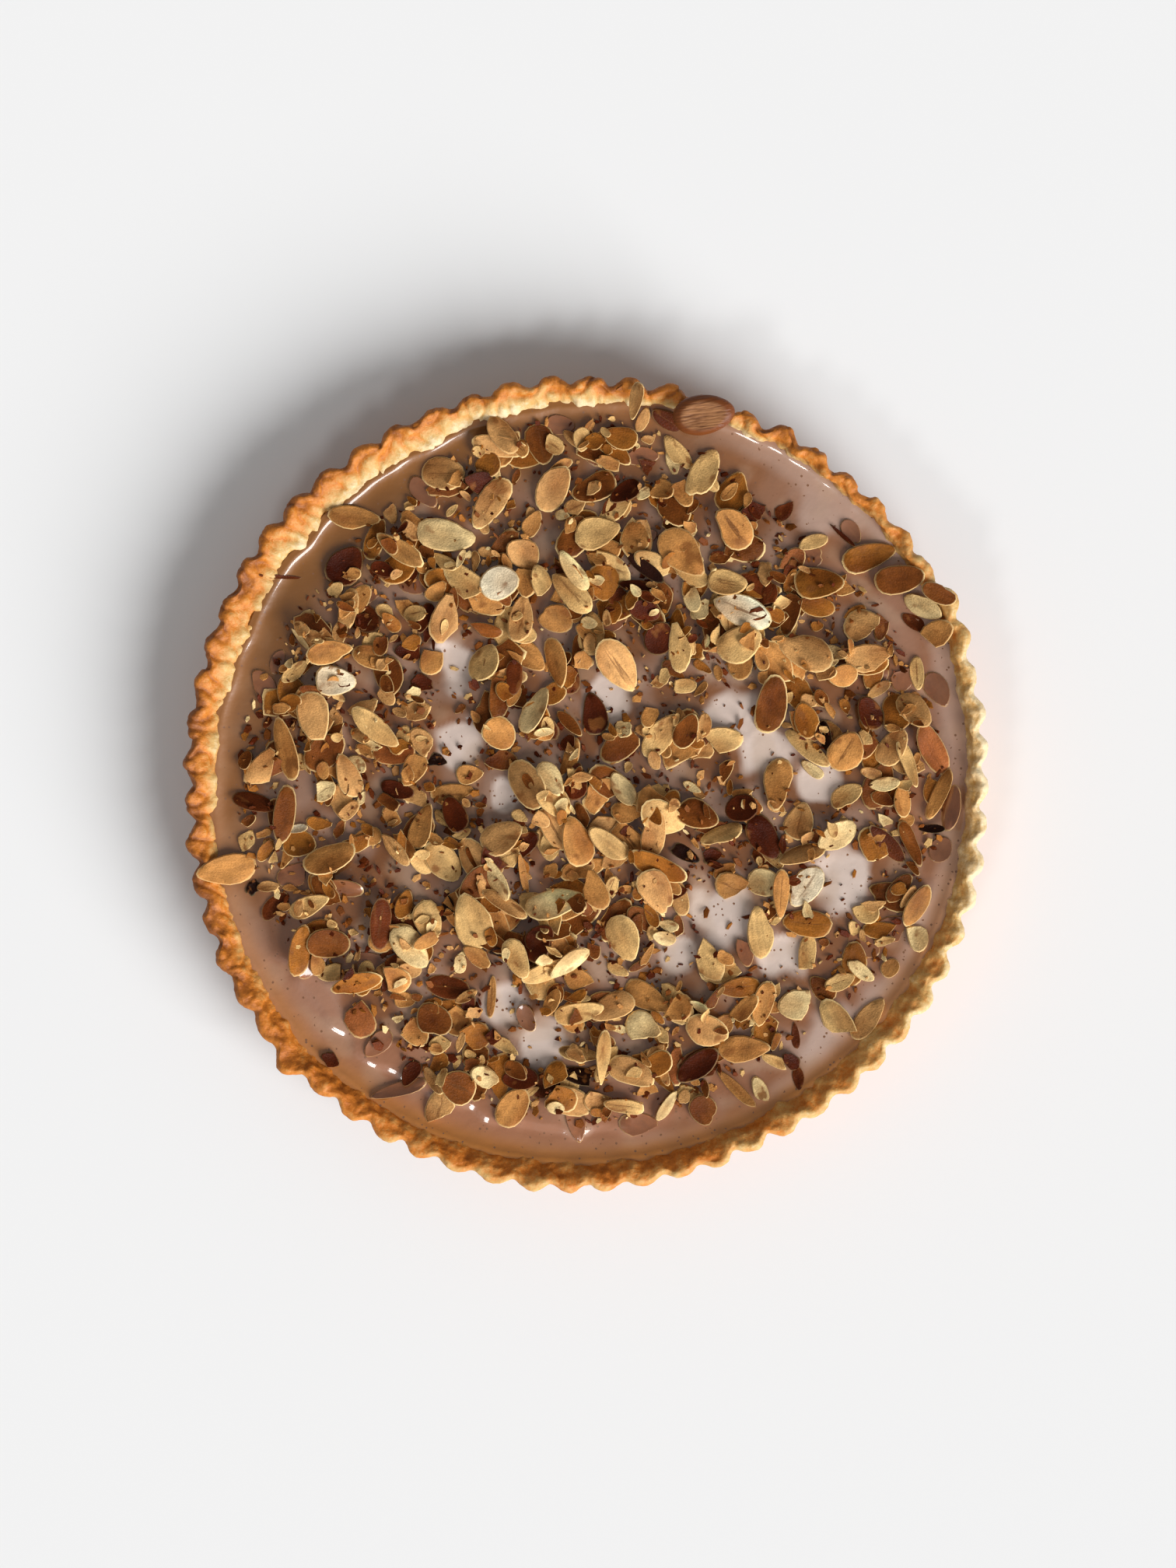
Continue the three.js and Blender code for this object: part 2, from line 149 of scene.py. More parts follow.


# From the middle of the underside, out and over the rim, to the middle of the floor: radius,
# height, share of the flutes, of the crests' lift and of the foot's waves, how loosely the dough
# was worked, how brown it is at the far left and at the near right, partly baked browning and
# partly painted light and shade, and the number of steps to the next row.
SECTION = [
    (0, 0, 0, 0, 0, 0, 0.5, 0.5, 4),
    (BASE_RADIUS - 1.2, 0, 0.55, 0, 0, 0.1, 0.5, 0.5, 3),
    (wall_at(1.4), 1.4, 0.65, 0, 0, 0.15, 0.6, 0.9, 15),
    (wall_at(21.5), 21.5, 0.95, 0, 0, 0.3, 0.75, 0.95, 6),
    (RIM_RADIUS + 0.2, CASE_HEIGHT - 1.8, 0.92, 0.8, 0, 0.6, 0.88, 0.34, 5),
    (RIM_RADIUS - 1.9, CASE_HEIGHT, 0.84, 1, 0, 0.9, 0.78, 0.42, 5),
    (RIM_RADIUS - RIM_WIDTH, CASE_HEIGHT - 1, 0.8, 0.8, 0, 1, 0.56, 0.52, 7),
    (FOOT_RADIUS + 3.2, FILLING_TOP + 4.2, 0.5, 0.4, 0.5, 0.9, 0.16, 0.52, 11),
    (FOOT_RADIUS, FILLING_TOP, 0, 0, 1, 0.75, 0.3, 0.46, 3),
    (FOOT_RADIUS - WALL_LEAN, FLOOR_THICKNESS, 0, 0, 1, 0, 0.4, 0.4, 3),
    (0, FLOOR_THICKNESS, 0, 0, 0, 0, 0.4, 0.4, 0),
]
ROUNDING_PASSES = 3
NEAR_RIGHT = -50
# Turn, how far the inner slope bulges inwards there, and how much browner or paler it is painted, partly
# baked browning and partly painted light and shade.
PRESSED_UP = [(0, 0, -0.34), (45, 0, 0.04), (80, 0.4, -0.02), (97, 1.5, -0.13), (130, 2, 0.05),
              (160, 2, 0.1), (178, 1.3, 0.16), (200, 0.8, 0.24), (222, 0, 0.22), (250, 0, 0.1),
              (290, 0, 0.07), (330, 0, -0.12), (360, 0, -0.34)]
PRESSED_WAVES = [(17, 0.22, 10), (29, 0.2, 40), (43, 0.16, 5)]


def pressed_in(turn, height):
    """How far the inner slope bulges inwards at a height."""
    bulge, _ = values_round(PRESSED_UP, turn)
    share = np.clip((height - FILLING_TOP) / SLOPE_HEIGHT, 0, 1)
    return bulge * (1 + wave_sum(PRESSED_WAVES, turn)) * np.sin(np.pi * share)


def stepped(section, rounded=(0, 0), passes=0):
    """The section's rows with steps between, and the corners between two of its rows rounded."""
    rows = []
    for (*here, steps), (*there, _) in zip(section, section[1:]):
        rows += [np.array(here) + (np.array(there) - here) * k / steps for k in range(steps)]
    rows = np.array(rows + [np.array(section[-1][:-1], float)])
    first, last = (sum(row[-1] for row in section[:k]) for k in rounded)
    for _ in range(passes):
        rows[first:last] = (rows[first - 1:last - 1] + 2 * rows[first:last] + rows[first + 1:last + 1]) / 4
    return rows


def finished_mesh(name, shape):
    mesh = bpy.data.meshes.new(name)
    shape.to_mesh(mesh)
    shape.free()
    return mesh


def turned_mesh(name, rows, turns, cuts):
    """A closed body turned from rows of radius and height, with each point's row and turn."""
    body = bmesh.new()
    row_of = body.verts.layers.float.new("row")
    chain = []
    for k, row in enumerate(rows):
        chain.append(body.verts.new((max(row[0], MM), 0, row[1])))
        chain[-1][row_of] = k
    edges = [body.edges.new(pair) for pair in zip(chain, chain[1:])]
    bmesh.ops.spin(body, geom=chain + edges, cent=(0, 0, 0), axis=(0, 0, 1), dvec=(0, 0, 0),
                   angle=2 * math.pi, steps=turns, use_merge=True)
    around = [e for e in body.edges if e.verts[0][row_of] == e.verts[1][row_of]]
    bmesh.ops.subdivide_edges(body, edges=around, cuts=cuts, use_grid_fill=True)
    poles = [v for v in body.verts if v[row_of] < 0.5 or v[row_of] > len(rows) - 1.5]
    bmesh.ops.remove_doubles(body, verts=poles, dist=3 * MM)
    bmesh.ops.recalc_face_normals(body, faces=body.faces)
    row = np.array([round(v[row_of]) for v in body.verts])
    turn = np.array([math.atan2(v.co.y, v.co.x) for v in body.verts])
    body.verts.layers.float.remove(row_of)
    return finished_mesh(name, body), row, turn


def from_mesh(mesh, key):
    values = np.empty(len(mesh.vertices) * 3, np.float32)
    mesh.vertices.foreach_get(key, values)
    return values.reshape(-1, 3).astype(float)


def move_points(mesh, points):
    mesh.vertices.foreach_set("co", points.astype(np.float32).ravel())
    mesh.update()


def rough(points, size, seed=0):
    """Smooth random heights from about -1 to 1, with lumps of the given size."""
    shift = Vector((seed * 17.3, seed * 5.1, seed * 9.7))
    return np.array([noise.noise(Vector(p) + shift) for p in points / size])


def keep_values(mesh, name, values, kind="FLOAT", key="value"):
    """Keeps a value for each point, where the piece's material can read it."""
    kept = mesh.attributes.new(name, kind, "POINT")
    kept.data.foreach_set(key, np.asarray(values, np.float32).ravel())


def keep_colours(mesh, name, colours):
    keep_values(mesh, name, np.insert(colours, 3, 1, axis=1), "FLOAT_COLOR", "color")


def add_object(name, data):
    made = bpy.data.objects.new(name, data)
    bpy.context.scene.collection.objects.link(made)
    return made


def finish_piece(mesh, material):
    mesh.materials.append(material)
    mesh.shade_smooth()
    piece = add_object(mesh.name, mesh)
    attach(piece, "root")
    return piece


LUMP = {"size": 6.4, "height": 1.2}
KNOB = {"size": 2.6, "height": 0.62}
GRIT = {"size": 1.1, "height": 0.3}
CREASE = {"spacing": 5.8, "length": 9, "sharpness": 0.13, "depth": 0.9, "near": 0.2}
# Painted shade: the crust is painted darker in its hollows and paler on its lumps.
HOLLOWS_SHADE = 0.16

case_rows = stepped(SECTION, rounded=(3, 8), passes=ROUNDING_PASSES)
pastry_mesh, row, turn = turned_mesh("pastry", case_rows, FLUTES, CUTS_PER_FLUTE)
place = np.remainder(turn * FLUTES / (2 * np.pi), FLUTES)
turn = flute_turn(place)
past_crest = row > np.argmax(case_rows[:, 1])
fluted = np.where(past_crest, smoothstep(case_rows[row, 0], RIM_RADIUS - 7, RIM_RADIUS - 2), 1)
radius = case_rows[row, 0] + case_rows[row, 2] * rim_outline(place, fluted)
radius += case_rows[row, 4] * wave_sum(FOOT_WAVES, turn)
radius -= np.where(past_crest, pressed_in(turn, case_rows[row, 1]), 0)
height = case_rows[row, 1] + case_rows[row, 3] * between_flutes(flute_lift, place)
points = np.stack([radius * np.cos(turn), radius * np.sin(turn), height], axis=1)
move_points(pastry_mesh, points)

near = smoothstep(0.5 + 0.5 * np.cos(turn - math.radians(NEAR_RIGHT)), 0.15, 0.75)
loose = case_rows[row, 5]
along = np.stack([turn * RIM_RADIUS / CREASE["spacing"], radius / CREASE["length"],
                  height / CREASE["length"]], axis=1)
crease = np.exp(-(rough(along, 1, seed=3) / CREASE["sharpness"]) ** 2)
crease *= 1 - (1 - CREASE["near"]) * near
lump = rough(points, LUMP["size"])
knob = rough(points, KNOB["size"], seed=1)
grit = rough(points, GRIT["size"], seed=2)
rise = LUMP["height"] * lump + KNOB["height"] * knob + GRIT["height"] * grit - CREASE["depth"] * crease
points += from_mesh(pastry_mesh, "normal") * (loose * rise)[:, None]
points[:, 2] = np.maximum(points[:, 2], 0)
move_points(pastry_mesh, points * MM)
# Painted light and shade: the brownness changes with the turn and between the far left and the near right,
# partly from baking and partly standing in for how the light falls on each side.
browning_and_shade = case_rows[row, 6] + (case_rows[row, 7] - case_rows[row, 6]) * near
_, toasted = values_round(PRESSED_UP, turn)
keep_values(pastry_mesh, "browning_and_shade", browning_and_shade + toasted - HOLLOWS_SHADE * (knob + lump))
# Painted shade: the creases are painted browner as well as pressed in.
keep_values(pastry_mesh, "crease", crease * np.minimum(loose, 1))
# Painted warm shade: the inner slope at the near right, which faces away from the light, is tinted warmer.
keep_values(pastry_mesh, "warm", near * past_crest)


def new_finish(name, **sockets):
    """A material, its node tree and its surface, with the surface's own values set."""
    material = bpy.data.materials.new(name)
    material.use_nodes = True
    surface = material.node_tree.nodes["Principled BSDF"]
    for key, value in sockets.items():
        surface.inputs[key.replace("_", " ")].default_value = value
    return material, material.node_tree, surface


def add_node(tree, kind, inputs, **settings):
    made = tree.nodes.new("ShaderNode" + kind)
    for key, value in settings.items():
        setattr(made, key, value)
    for key, value in inputs.items():
        if isinstance(value, bpy.types.NodeSocket):
            tree.links.new(value, made.inputs[key])
        else:
            made.inputs[key].default_value = value
    return made


def own_place(tree):
    return add_node(tree, "TexCoord", {}).outputs["Object"]


def grain(tree, vector, scale, detail=2.0, rougher=0.5):
    """A noise pattern along the given places."""
    made = add_node(tree, "TexNoise", {"Vector": vector, "Scale": scale, "Detail": detail,
                                       "Roughness": rougher})
    return made.outputs["Fac"]


def ramp(tree, value, stops):
    """Colours along a value from 0 to 1. stops holds (place, colour) rows."""
    made = add_node(tree, "ValToRGB", {"Fac": value})
    elements = made.color_ramp.elements
    for k, (place_along, colour) in enumerate(stops):
        element = elements[k] if k < 2 else elements.new(place_along)
        element.position = place_along
        element.color = (*colour, 1)
    return made.outputs["Color"]


def blend(tree, share, first, second, how="MIX"):
    made = add_node(tree, "Mix", {}, data_type="RGBA", blend_type=how)
    for key, value in (("Factor_Float", share), ("A_Color", first), ("B_Color", second)):
        socket = next(s for s in made.inputs if s.identifier == key)
        if isinstance(value, bpy.types.NodeSocket):
            tree.links.new(value, socket)
        else:
            socket.default_value = (*value, 1) if isinstance(value, tuple) else value
    return next(s for s in made.outputs if s.identifier == "Result_Color")


def maths(tree, how, first, second=0.0, clamp=False):
    return add_node(tree, "Math", {0: first, 1: second}, operation=how, use_clamp=clamp).outputs[0]


def attribute(tree, name, output="Fac"):
    return add_node(tree, "Attribute", {}, attribute_name=name).outputs[output]


def bump(tree, surface, height, distance, strength=1.0):
    made = add_node(tree, "Bump", {"Height": height, "Distance": distance, "Strength": strength})
    tree.links.new(made.outputs["Normal"], surface.inputs["Normal"])


CRUST_BROWN = (0.27, 0.077, 0.009)
AMBER_CRUST = (0.6, 0.195, 0.02)
GOLD = (0.64, 0.4, 0.14)
BUTTER = (0.8, 0.63, 0.38)
WARM_SHADE_TINT = (1, 0.89, 0.76)

pastry_finish, tree, surface = new_finish("baked_pastry", Roughness=0.48, Specular_IOR_Level=0.35)
here = own_place(tree)
flecks = grain(tree, here, 900, detail=4, rougher=0.65)
patches = grain(tree, here, 70, detail=3)
brownness_and_shade = attribute(tree, "browning_and_shade")
# The creases add painted shade to the brownness.
for pattern, by in ((flecks, 0.55), (patches, 0.5), (attribute(tree, "crease"), 0.22)):
    brownness_and_shade = maths(tree, "ADD", brownness_and_shade, maths(tree, "MULTIPLY", pattern, by))
brownness_and_shade = maths(tree, "SUBTRACT", brownness_and_shade, 0.53, clamp=True)
crust_colour = ramp(tree, brownness_and_shade, [(0.05, BUTTER), (1, CRUST_BROWN), (0.32, GOLD), (0.66, AMBER_CRUST)])
# Painted warm shade on the near right's inner slope.
crust_colour = blend(tree, attribute(tree, "warm"), crust_colour, WARM_SHADE_TINT, how="MULTIPLY")
tree.links.new(crust_colour, surface.inputs["Base Color"])
bump(tree, surface, flecks, 0.0005, 0.7)

pastry = finish_piece(pastry_mesh, pastry_finish)
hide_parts("pastry_case")

# -----------------------------------------------------------
# The almond filling
# Frangipane, a baked sponge of ground almonds, butter and eggs. It fills the case from its floor
# to the icing, so on a whole tart none of it is seen.
# -----------------------------------------------------------
CRUMB_PALE = (0.72, 0.50, 0.22)
CRUMB_TAN = (0.45, 0.26, 0.09)

sponge_finish, tree, surface = new_finish("almond_sponge", Roughness=0.8)
here = own_place(tree)
crumb = grain(tree, here, 600, detail=5, rougher=0.7)
tree.links.new(ramp(tree, crumb, [(0.35, CRUMB_TAN), (0.65, CRUMB_PALE)]), surface.inputs["Base Color"])
bump(tree, surface, crumb, 0.0006)
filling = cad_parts["frangipane"]
filling.data.materials.clear()
filling.data.materials.append(sponge_finish)

# -----------------------------------------------------------
# The icing
# Thin water icing poured over the hot sponge. It set milky where it lies thick, soaked in to a
# golden or pinkish brown film elsewhere, and crept a little way up the pastry all round.
# -----------------------------------------------------------
ICING_UNDER = 19.05
ICING_TOP = 20.8
MOUND = 2.2
MOUND_EDGE = (0.72, 1.02)
MOUND_RADIUS = 112
BARE = [(-43, 41, 8), (-43, 14, 8), (7, 29, 8), (50, 22, 9), (61, 11, 9), (79, 1, 7), (46, -44, 11),
        (66, -58, 7), (87, -32, 10), (-27, -4, 5), (-27, -75, 7), (-14, -87, 8), (86, -88, 14),
        (31, -57, 6), (84, 96, 12), (-93, -78, 12)]
MENISCUS = {"height": 1.4, "reach": 1.6}
INTO_WALL = 2.4
ICING_TURNS = 64
ICING_CUTS = 7
ICING_SWELL = {"size": 14, "height": 0.35}

MILKY = (0.64, 0.51, 0.44)
GOLDEN_FILM = (0.18, 0.06, 0.002)
PINK_FILM = (0.32, 0.124, 0.056)
STAIN_AND_SHADE = (0.18, 0.056, 0.008)
# Painted shadow of the crust's wall on the icing's edge, with the crust seen through the thin icing.
WALL_SHADOW_AMBER = (0.44, 0.15, 0.012)
HAZE = (0.5, 0.34, 0.22)
# Turn, share of golden film and of pinkish brown film near the wall, and of amber right at it: a painted
# shadow of the crust, with the crust showing through the thin icing.
FILM_ROUND = [(0, 0.1, 0.6, 0.3), (30, 0.05, 0.5, 0.15), (55, 0.4, 0.4, 0.1), (80, 1, 0.2, 0.2),
              (100, 1, 0, 0.2), (150, 1, 0, 0.2), (195, 0.9, 0.2, 0.3), (215, 0.3, 0.85, 0.6),
              (250, 0, 1, 1), (275, 0, 0.85, 1), (290, 0, 0.6, 1), (305, 0, 0.45, 1), (335, 0, 0.35, 0.8),
              (360, 0.1, 0.6, 0.3)]
WALL_SHADOW_REACH = 4.5

# Where the icing ran thick and stopped: turn, share of the full step, and how far in it lies.
STEPS_ROUND = [(0, 0, 8), (196, 0, 9), (203, 1, 7), (214, 1, 6), (220, 0.9, 7.5), (226, 1, 5.5),
               (233, 1, 6), (241, 0.9, 8), (248, 1, 7.5), (268, 1, 7), (278, 0.6, 7), (290, 0, 8),
               (360, 0, 8)]
STEP_HEIGHT = 1.3
STEP_WIDTH = 3.2
STEP_WAVES = [(31, 0.8, 0), (47, 0.6, 1), (73, 0.25, 2)]


def bare_share(x, y, grown=0):
    """How near the nearest bare patch is: 0 in its middle, 1 at its edge and more outside."""
    shares = [np.hypot(x - bare_x, y - bare_y) / (size + grown) for bare_x, bare_y, size in BARE]
    return np.min(shares, axis=0)


def icing_mound(x, y):
    """How far the icing and what lies in it stand above the icing's edge."""
    turn, reach = np.arctan2(y, x), np.hypot(x, y)
    full, lies_in = values_round(STEPS_ROUND, turn)
    stopped = FOOT_RADIUS - lies_in + wave_sum(STEP_WAVES, turn)
    step = STEP_HEIGHT * full * smoothstep(stopped - reach, 0, STEP_WIDTH)
    zone = MOUND_RADIUS + 6 * np.cos(2 * turn)
    swell = 0.5 + 0.3 * np.cos(x / 9 + 1) * np.cos(y / 11) + 0.2 * np.cos((x + y) / 17)
    covered = smoothstep(bare_share(x, y), 0.6, 1.5)
    return step + MOUND * (1 - smoothstep(reach / zone, *MOUND_EDGE)) * swell * covered


def wall_inside(turn, height):
    """Radius of the case's inner slope at a height above the filling."""
    places = np.linspace(0, FLUTES, 8 * FLUTES + 1)
    place = np.interp(np.remainder(turn, 2 * np.pi), flute_turn(places), places, period=2 * np.pi)
    foot = FOOT_RADIUS + wave_sum(FOOT_WAVES, turn)
    lip = RIM_RADIUS - RIM_WIDTH + 0.8 * rim_outline(place, fluted=0.4)
    return foot + (lip - foot) * (height - FILLING_TOP) / SLOPE_HEIGHT - pressed_in(turn, height)


def icing_level(x, y, from_wall):
    """Height of the icing, which creeps up where it meets the wall."""
    return ICING_TOP + icing_mound(x, y) + MENISCUS["height"] * np.exp(-from_wall / MENISCUS["reach"])


# From the middle of the underside to the middle of the top: a radius that is stretched to the
# wall later, and the height over the underside. The edge has rows of its own, counted inwards.
EDGE_REACH = 7
TOP_STEPS = 96
EDGE_STEPS = [(0, 0.9)] + [(k, 1.75) for k in (0, 0.35, 0.7, 1.1, 1.6, 2.2, 3, 4, 5, 6)]

icing_rows = [(FOOT_RADIUS * k / 6, 0) for k in range(7)]
icing_rows += [(FOOT_RADIUS - inwards, up) for inwards, up in EDGE_STEPS]
icing_rows += [((FOOT_RADIUS - EDGE_REACH) * (1 - k / TOP_STEPS), 1.75) for k in range(TOP_STEPS + 1)]
icing_mesh, row, turn = turned_mesh("icing", icing_rows, ICING_TURNS, ICING_CUTS)
row_radius, row_up = np.array(icing_rows)[row].T
wall = wall_inside(turn, ICING_TOP)
edge = wall + INTO_WALL
stretched_in = (edge - EDGE_REACH) * row_radius / (FOOT_RADIUS - EDGE_REACH)
radius = np.where(row_radius < FOOT_RADIUS - EDGE_REACH, stretched_in, edge + row_radius - FOOT_RADIUS)
foot = wall_inside(turn, FILLING_TOP) + INTO_WALL
radius = np.where(row_up < 1, np.minimum(radius, foot), radius)
x, y = radius * np.cos(turn), radius * np.sin(turn)
from_wall = np.maximum(wall - radius, 0)
flat = np.stack([x, y, np.zeros_like(x)], axis=1)
swell = ICING_SWELL["height"] * rough(flat, ICING_SWELL["size"], seed=4)
top = icing_level(x, y, from_wall) + swell * smoothstep(from_wall, 1, 8)
height = np.where(row_up > 1, top, ICING_UNDER + row_up)
move_points(icing_mesh, np.stack([x, y, height], axis=1) * MM)

golden, pink, amber = values_round(FILM_ROUND, turn)
patchy = rough(flat, 22, seed=6)
near_wall = 1 - smoothstep(from_wall + 9 * patchy, 12, 30)
haze = 0.3 * smoothstep(rough(flat, 11, seed=10), 0.08, 0.4) * (1 - 0.8 * golden * near_wall)
# Between the almonds the icing is painted brown, partly syrup stain and partly painted shade from the flakes
# around it.
stain_and_shade = smoothstep(bare_share(x, y) + 0.5 * rough(flat, 8, seed=7), 0.75, 1.25)
stain_and_shade *= 0.8 + 0.2 * smoothstep(rough(flat, 13, seed=9), -0.35, 0.15)
stain_and_shade *= smoothstep(from_wall + 5 * patchy, 2.5, 8.5)
tint = np.array(MILKY) * np.ones((len(x), 1))
films = [(STAIN_AND_SHADE, stain_and_shade), (GOLDEN_FILM, golden * near_wall), (PINK_FILM, pink * near_wall),
         (HAZE, haze), (WALL_SHADOW_AMBER, amber * np.exp(-(from_wall / WALL_SHADOW_REACH) ** 2))]
for film, by in films:
    tint += (np.array(film) - tint) * by[:, None]
keep_colours(icing_mesh, "tint", tint)

SPECK_BROWN = (0.20, 0.085, 0.035)

icing_finish, tree, surface = new_finish("water_icing", Roughness=0.4, Coat_Weight=0.8, Coat_Roughness=0.06,
                                         Coat_IOR=1.65)
here = own_place(tree)
cloudy = grain(tree, here, 160, detail=3)
cells = add_node(tree, "TexVoronoi", {"Vector": here, "Scale": 520}, feature="F1")
speck = maths(tree, "LESS_THAN", cells.outputs["Distance"], 0.22)
chosen = maths(tree, "GREATER_THAN", grain(tree, here, 330, detail=1), 0.56)
colour = blend(tree, maths(tree, "MULTIPLY", cloudy, 0.05), attribute(tree, "tint", "Color"), HAZE)
colour = blend(tree, maths(tree, "MULTIPLY", speck, chosen), colour, SPECK_BROWN)
tree.links.new(colour, surface.inputs["Base Color"])
bump(tree, surface, cloudy, 0.0006, 0.5)

icing = finish_piece(icing_mesh, icing_finish)
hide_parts("icing_with_almonds")

# -----------------------------------------------------------
# The almond crumbs
# Dust and splinters that came off the flakes as they were cut. They fell with the flakes and lie
# thick between them, from cream to burnt brown.
# -----------------------------------------------------------
GRID_CELL = 0.5
GRID_HALF = 142
ALMOND_LIMIT = [(0, 122), (50, 110), (90, 125), (140, 111), (180, 118), (222, 111), (270, 114),
                (310, 111), (330, 116), (360, 122)]
CRUMBS_UNDER = 2600
CRUMBS_OVER = 800
CRUMB_SINK = 0.25


def seen(red, green, blue, light=1.1):
    """A surface's own colour, from the colour it shows under the light."""
    return tuple(((value / 255 + 0.055) / 1.055) ** 2.4 / light for value in (red, green, blue))


TONES = {
    "white": seen(240, 222, 188), "cream": seen(240, 208, 148), "cream_edge": seen(184, 134, 76),
    "pale": seen(220, 176, 112), "tan": seen(208, 154, 94), "toasted": seen(194, 134, 72),
    "amber": seen(160, 98, 36), "brown": seen(124, 68, 25), "skin": seen(102, 46, 16),
    "dark": seen(84, 32, 9), "burnt": seen(38, 15, 6), "coated": seen(156, 90, 46),
}

ticks = np.arange(-GRID_HALF, GRID_HALF + GRID_CELL, GRID_CELL)
grid_x, grid_y = np.meshgrid(ticks, ticks)


def bare_ground(x, y):
    """Height of the icing and of the crust before any almond lies on them."""
    turn, radius = np.arctan2(y, x), np.hypot(x, y)
    foot, lip = wall_inside(turn, FILLING_TOP), wall_inside(turn, CASE_HEIGHT - 1)
    wall = wall_inside(turn, ICING_TOP)
    iced = icing_level(x, y, np.maximum(wall - radius, 0))
    slope = FILLING_TOP + SLOPE_HEIGHT * (radius - foot) / (lip - foot)
    height = np.where(radius < wall, iced, np.minimum(slope, CASE_HEIGHT))
    return np.where(radius > lip + RIM_WIDTH, 0, height)


ground = bare_ground(grid_x, grid_y)


def cell_of(x, y):
    """Line and column of the ground's grid at a place."""
    cells = np.rint((np.stack([y, x]) + GRID_HALF) / GRID_CELL).astype(int)
    return tuple(np.clip(cells, 0, len(ticks) - 1))


def turned_by(along, aside, spin):
    """Lengths along and across a piece, as they lie on the tart once it is turned."""
    cos, sin = math.cos(spin), math.sin(spin)
    return along * cos - aside * sin, along * sin + aside * cos


def read_blank(blank):
    """A small shape's points and faces, ready to be copied many times."""
    blank.verts.index_update()
    points = np.array([v.co for v in blank.verts])
    faces = [[v.index for v in face.verts] for face in blank.faces]
    blank.free()
    return points, faces


def joined_copies(name, faces, copies):
    """One mesh from many copies of a blank. Each copy is its points, its colours and its place."""
    points, colours, places = (np.concatenate([copy[k] for copy in copies]) for k in range(3))
    corners = np.concatenate(faces)
    starts = np.cumsum([0] + [len(face) for face in faces[:-1]])
    shift = np.arange(len(copies))[:, None]
    mesh = bpy.data.meshes.new(name)
    mesh.vertices.add(len(points))
    mesh.loops.add(len(corners) * len(copies))
    mesh.polygons.add(len(faces) * len(copies))
    mesh.vertices.foreach_set("co", (points * MM).astype(np.float32).ravel())
    vertex_index = corners + len(copies[0][0]) * shift
    mesh.loops.foreach_set("vertex_index", vertex_index.astype(np.int32).ravel())
    mesh.polygons.foreach_set("loop_start", (starts + len(corners) * shift).astype(np.int32).ravel())
    mesh.update(calc_edges=True)
    keep_colours(mesh, "tone", colours)
    keep_values(mesh, "place", places, "FLOAT_VECTOR", "vector")
    return mesh


crumb_shape = bmesh.new()
bmesh.ops.create_cone(crumb_shape, cap_ends=True, segments=5, radius1=0.5, radius2=0.42, depth=1)
crumb_points, crumb_faces = read_blank(crumb_shape)

dice = random.Random(41)


def weighted(**times):
    return [tone for tone, count in times.items() for _ in range(count)]


def chance_place(margin):
    """A place within the almonds' outline, made wider by the margin."""
    turn, reach = dice.uniform(0, 360), math.sqrt(dice.random())
    reach *= float(np.interp(turn, *np.array(ALMOND_LIMIT).T)) + margin
    return turned_by(reach, 0, math.radians(turn))


CRUMB_TONES = weighted(toasted=3, brown=7, tan=3, amber=3, dark=5, pale=2, skin=5, cream=1)
CRUMB_LEAST = 1.1
CRUMB_RAGGED = 0.12


def scatter_crumbs(count, longest):
    """Crumbs over the almonds' part of the icing, few in its bare patches."""
    copies = []
    while len(copies) < count:
        x, y = chance_place(margin=1)
        if bare_share(x, y) < 1.15 and dice.random() < 0.75:
            continue
        length = CRUMB_LEAST + (longest - CRUMB_LEAST) * dice.random() ** 1.7
        size = np.array([length, length * dice.uniform(0.3, 0.75), dice.uniform(0.4, 1.0)])
        spin, tip = dice.uniform(0, math.tau), dice.uniform(-0.6, 0.6)
        ragged = np.array([[dice.uniform(-1, 1) for _ in range(3)] for _ in crumb_points])
        along, aside, upward = (crumb_points * size + CRUMB_RAGGED * size * ragged).T
        rise = along * math.tan(tip) + upward
        across, up = turned_by(along, aside, spin)
        level = float(np.max(ground[cell_of(x + across, y + up)] - rise)) - CRUMB_SINK
        points = np.stack([x + across, y + up, level + rise], axis=1)
        cell = cell_of(x, y)
        ground[cell] = max(ground[cell], level + size[2] / 2)
        colour = np.array(TONES[dice.choice(CRUMB_TONES)]) * dice.uniform(0.8, 1.2)
        on_crumb = (0.9, 0.9, dice.uniform(0, 9))
        copies.append([points] + [np.tile(value, (len(points), 1)) for value in (colour, on_crumb)])
    return copies


# A pale cream rim round each flake: a painted highlight along its bevel as well as its paler edge.
EDGE_CREAM = seen(250, 216, 152)
TOAST_SPOT = (0.22, 0.075, 0.018)
SEAM_BROWN = (0.13, 0.045, 0.012)


def stretched(tree, vector, scale):
    return add_node(tree, "Mapping", {"Vector": vector, "Scale": scale}).outputs["Vector"]


def span(tree, value, low, high, most=1.0):
    """From 0 to most while a value goes from low to high."""
    return add_node(tree, "MapRange", {0: value, 1: low, 2: high, 4: most}).outputs[0]


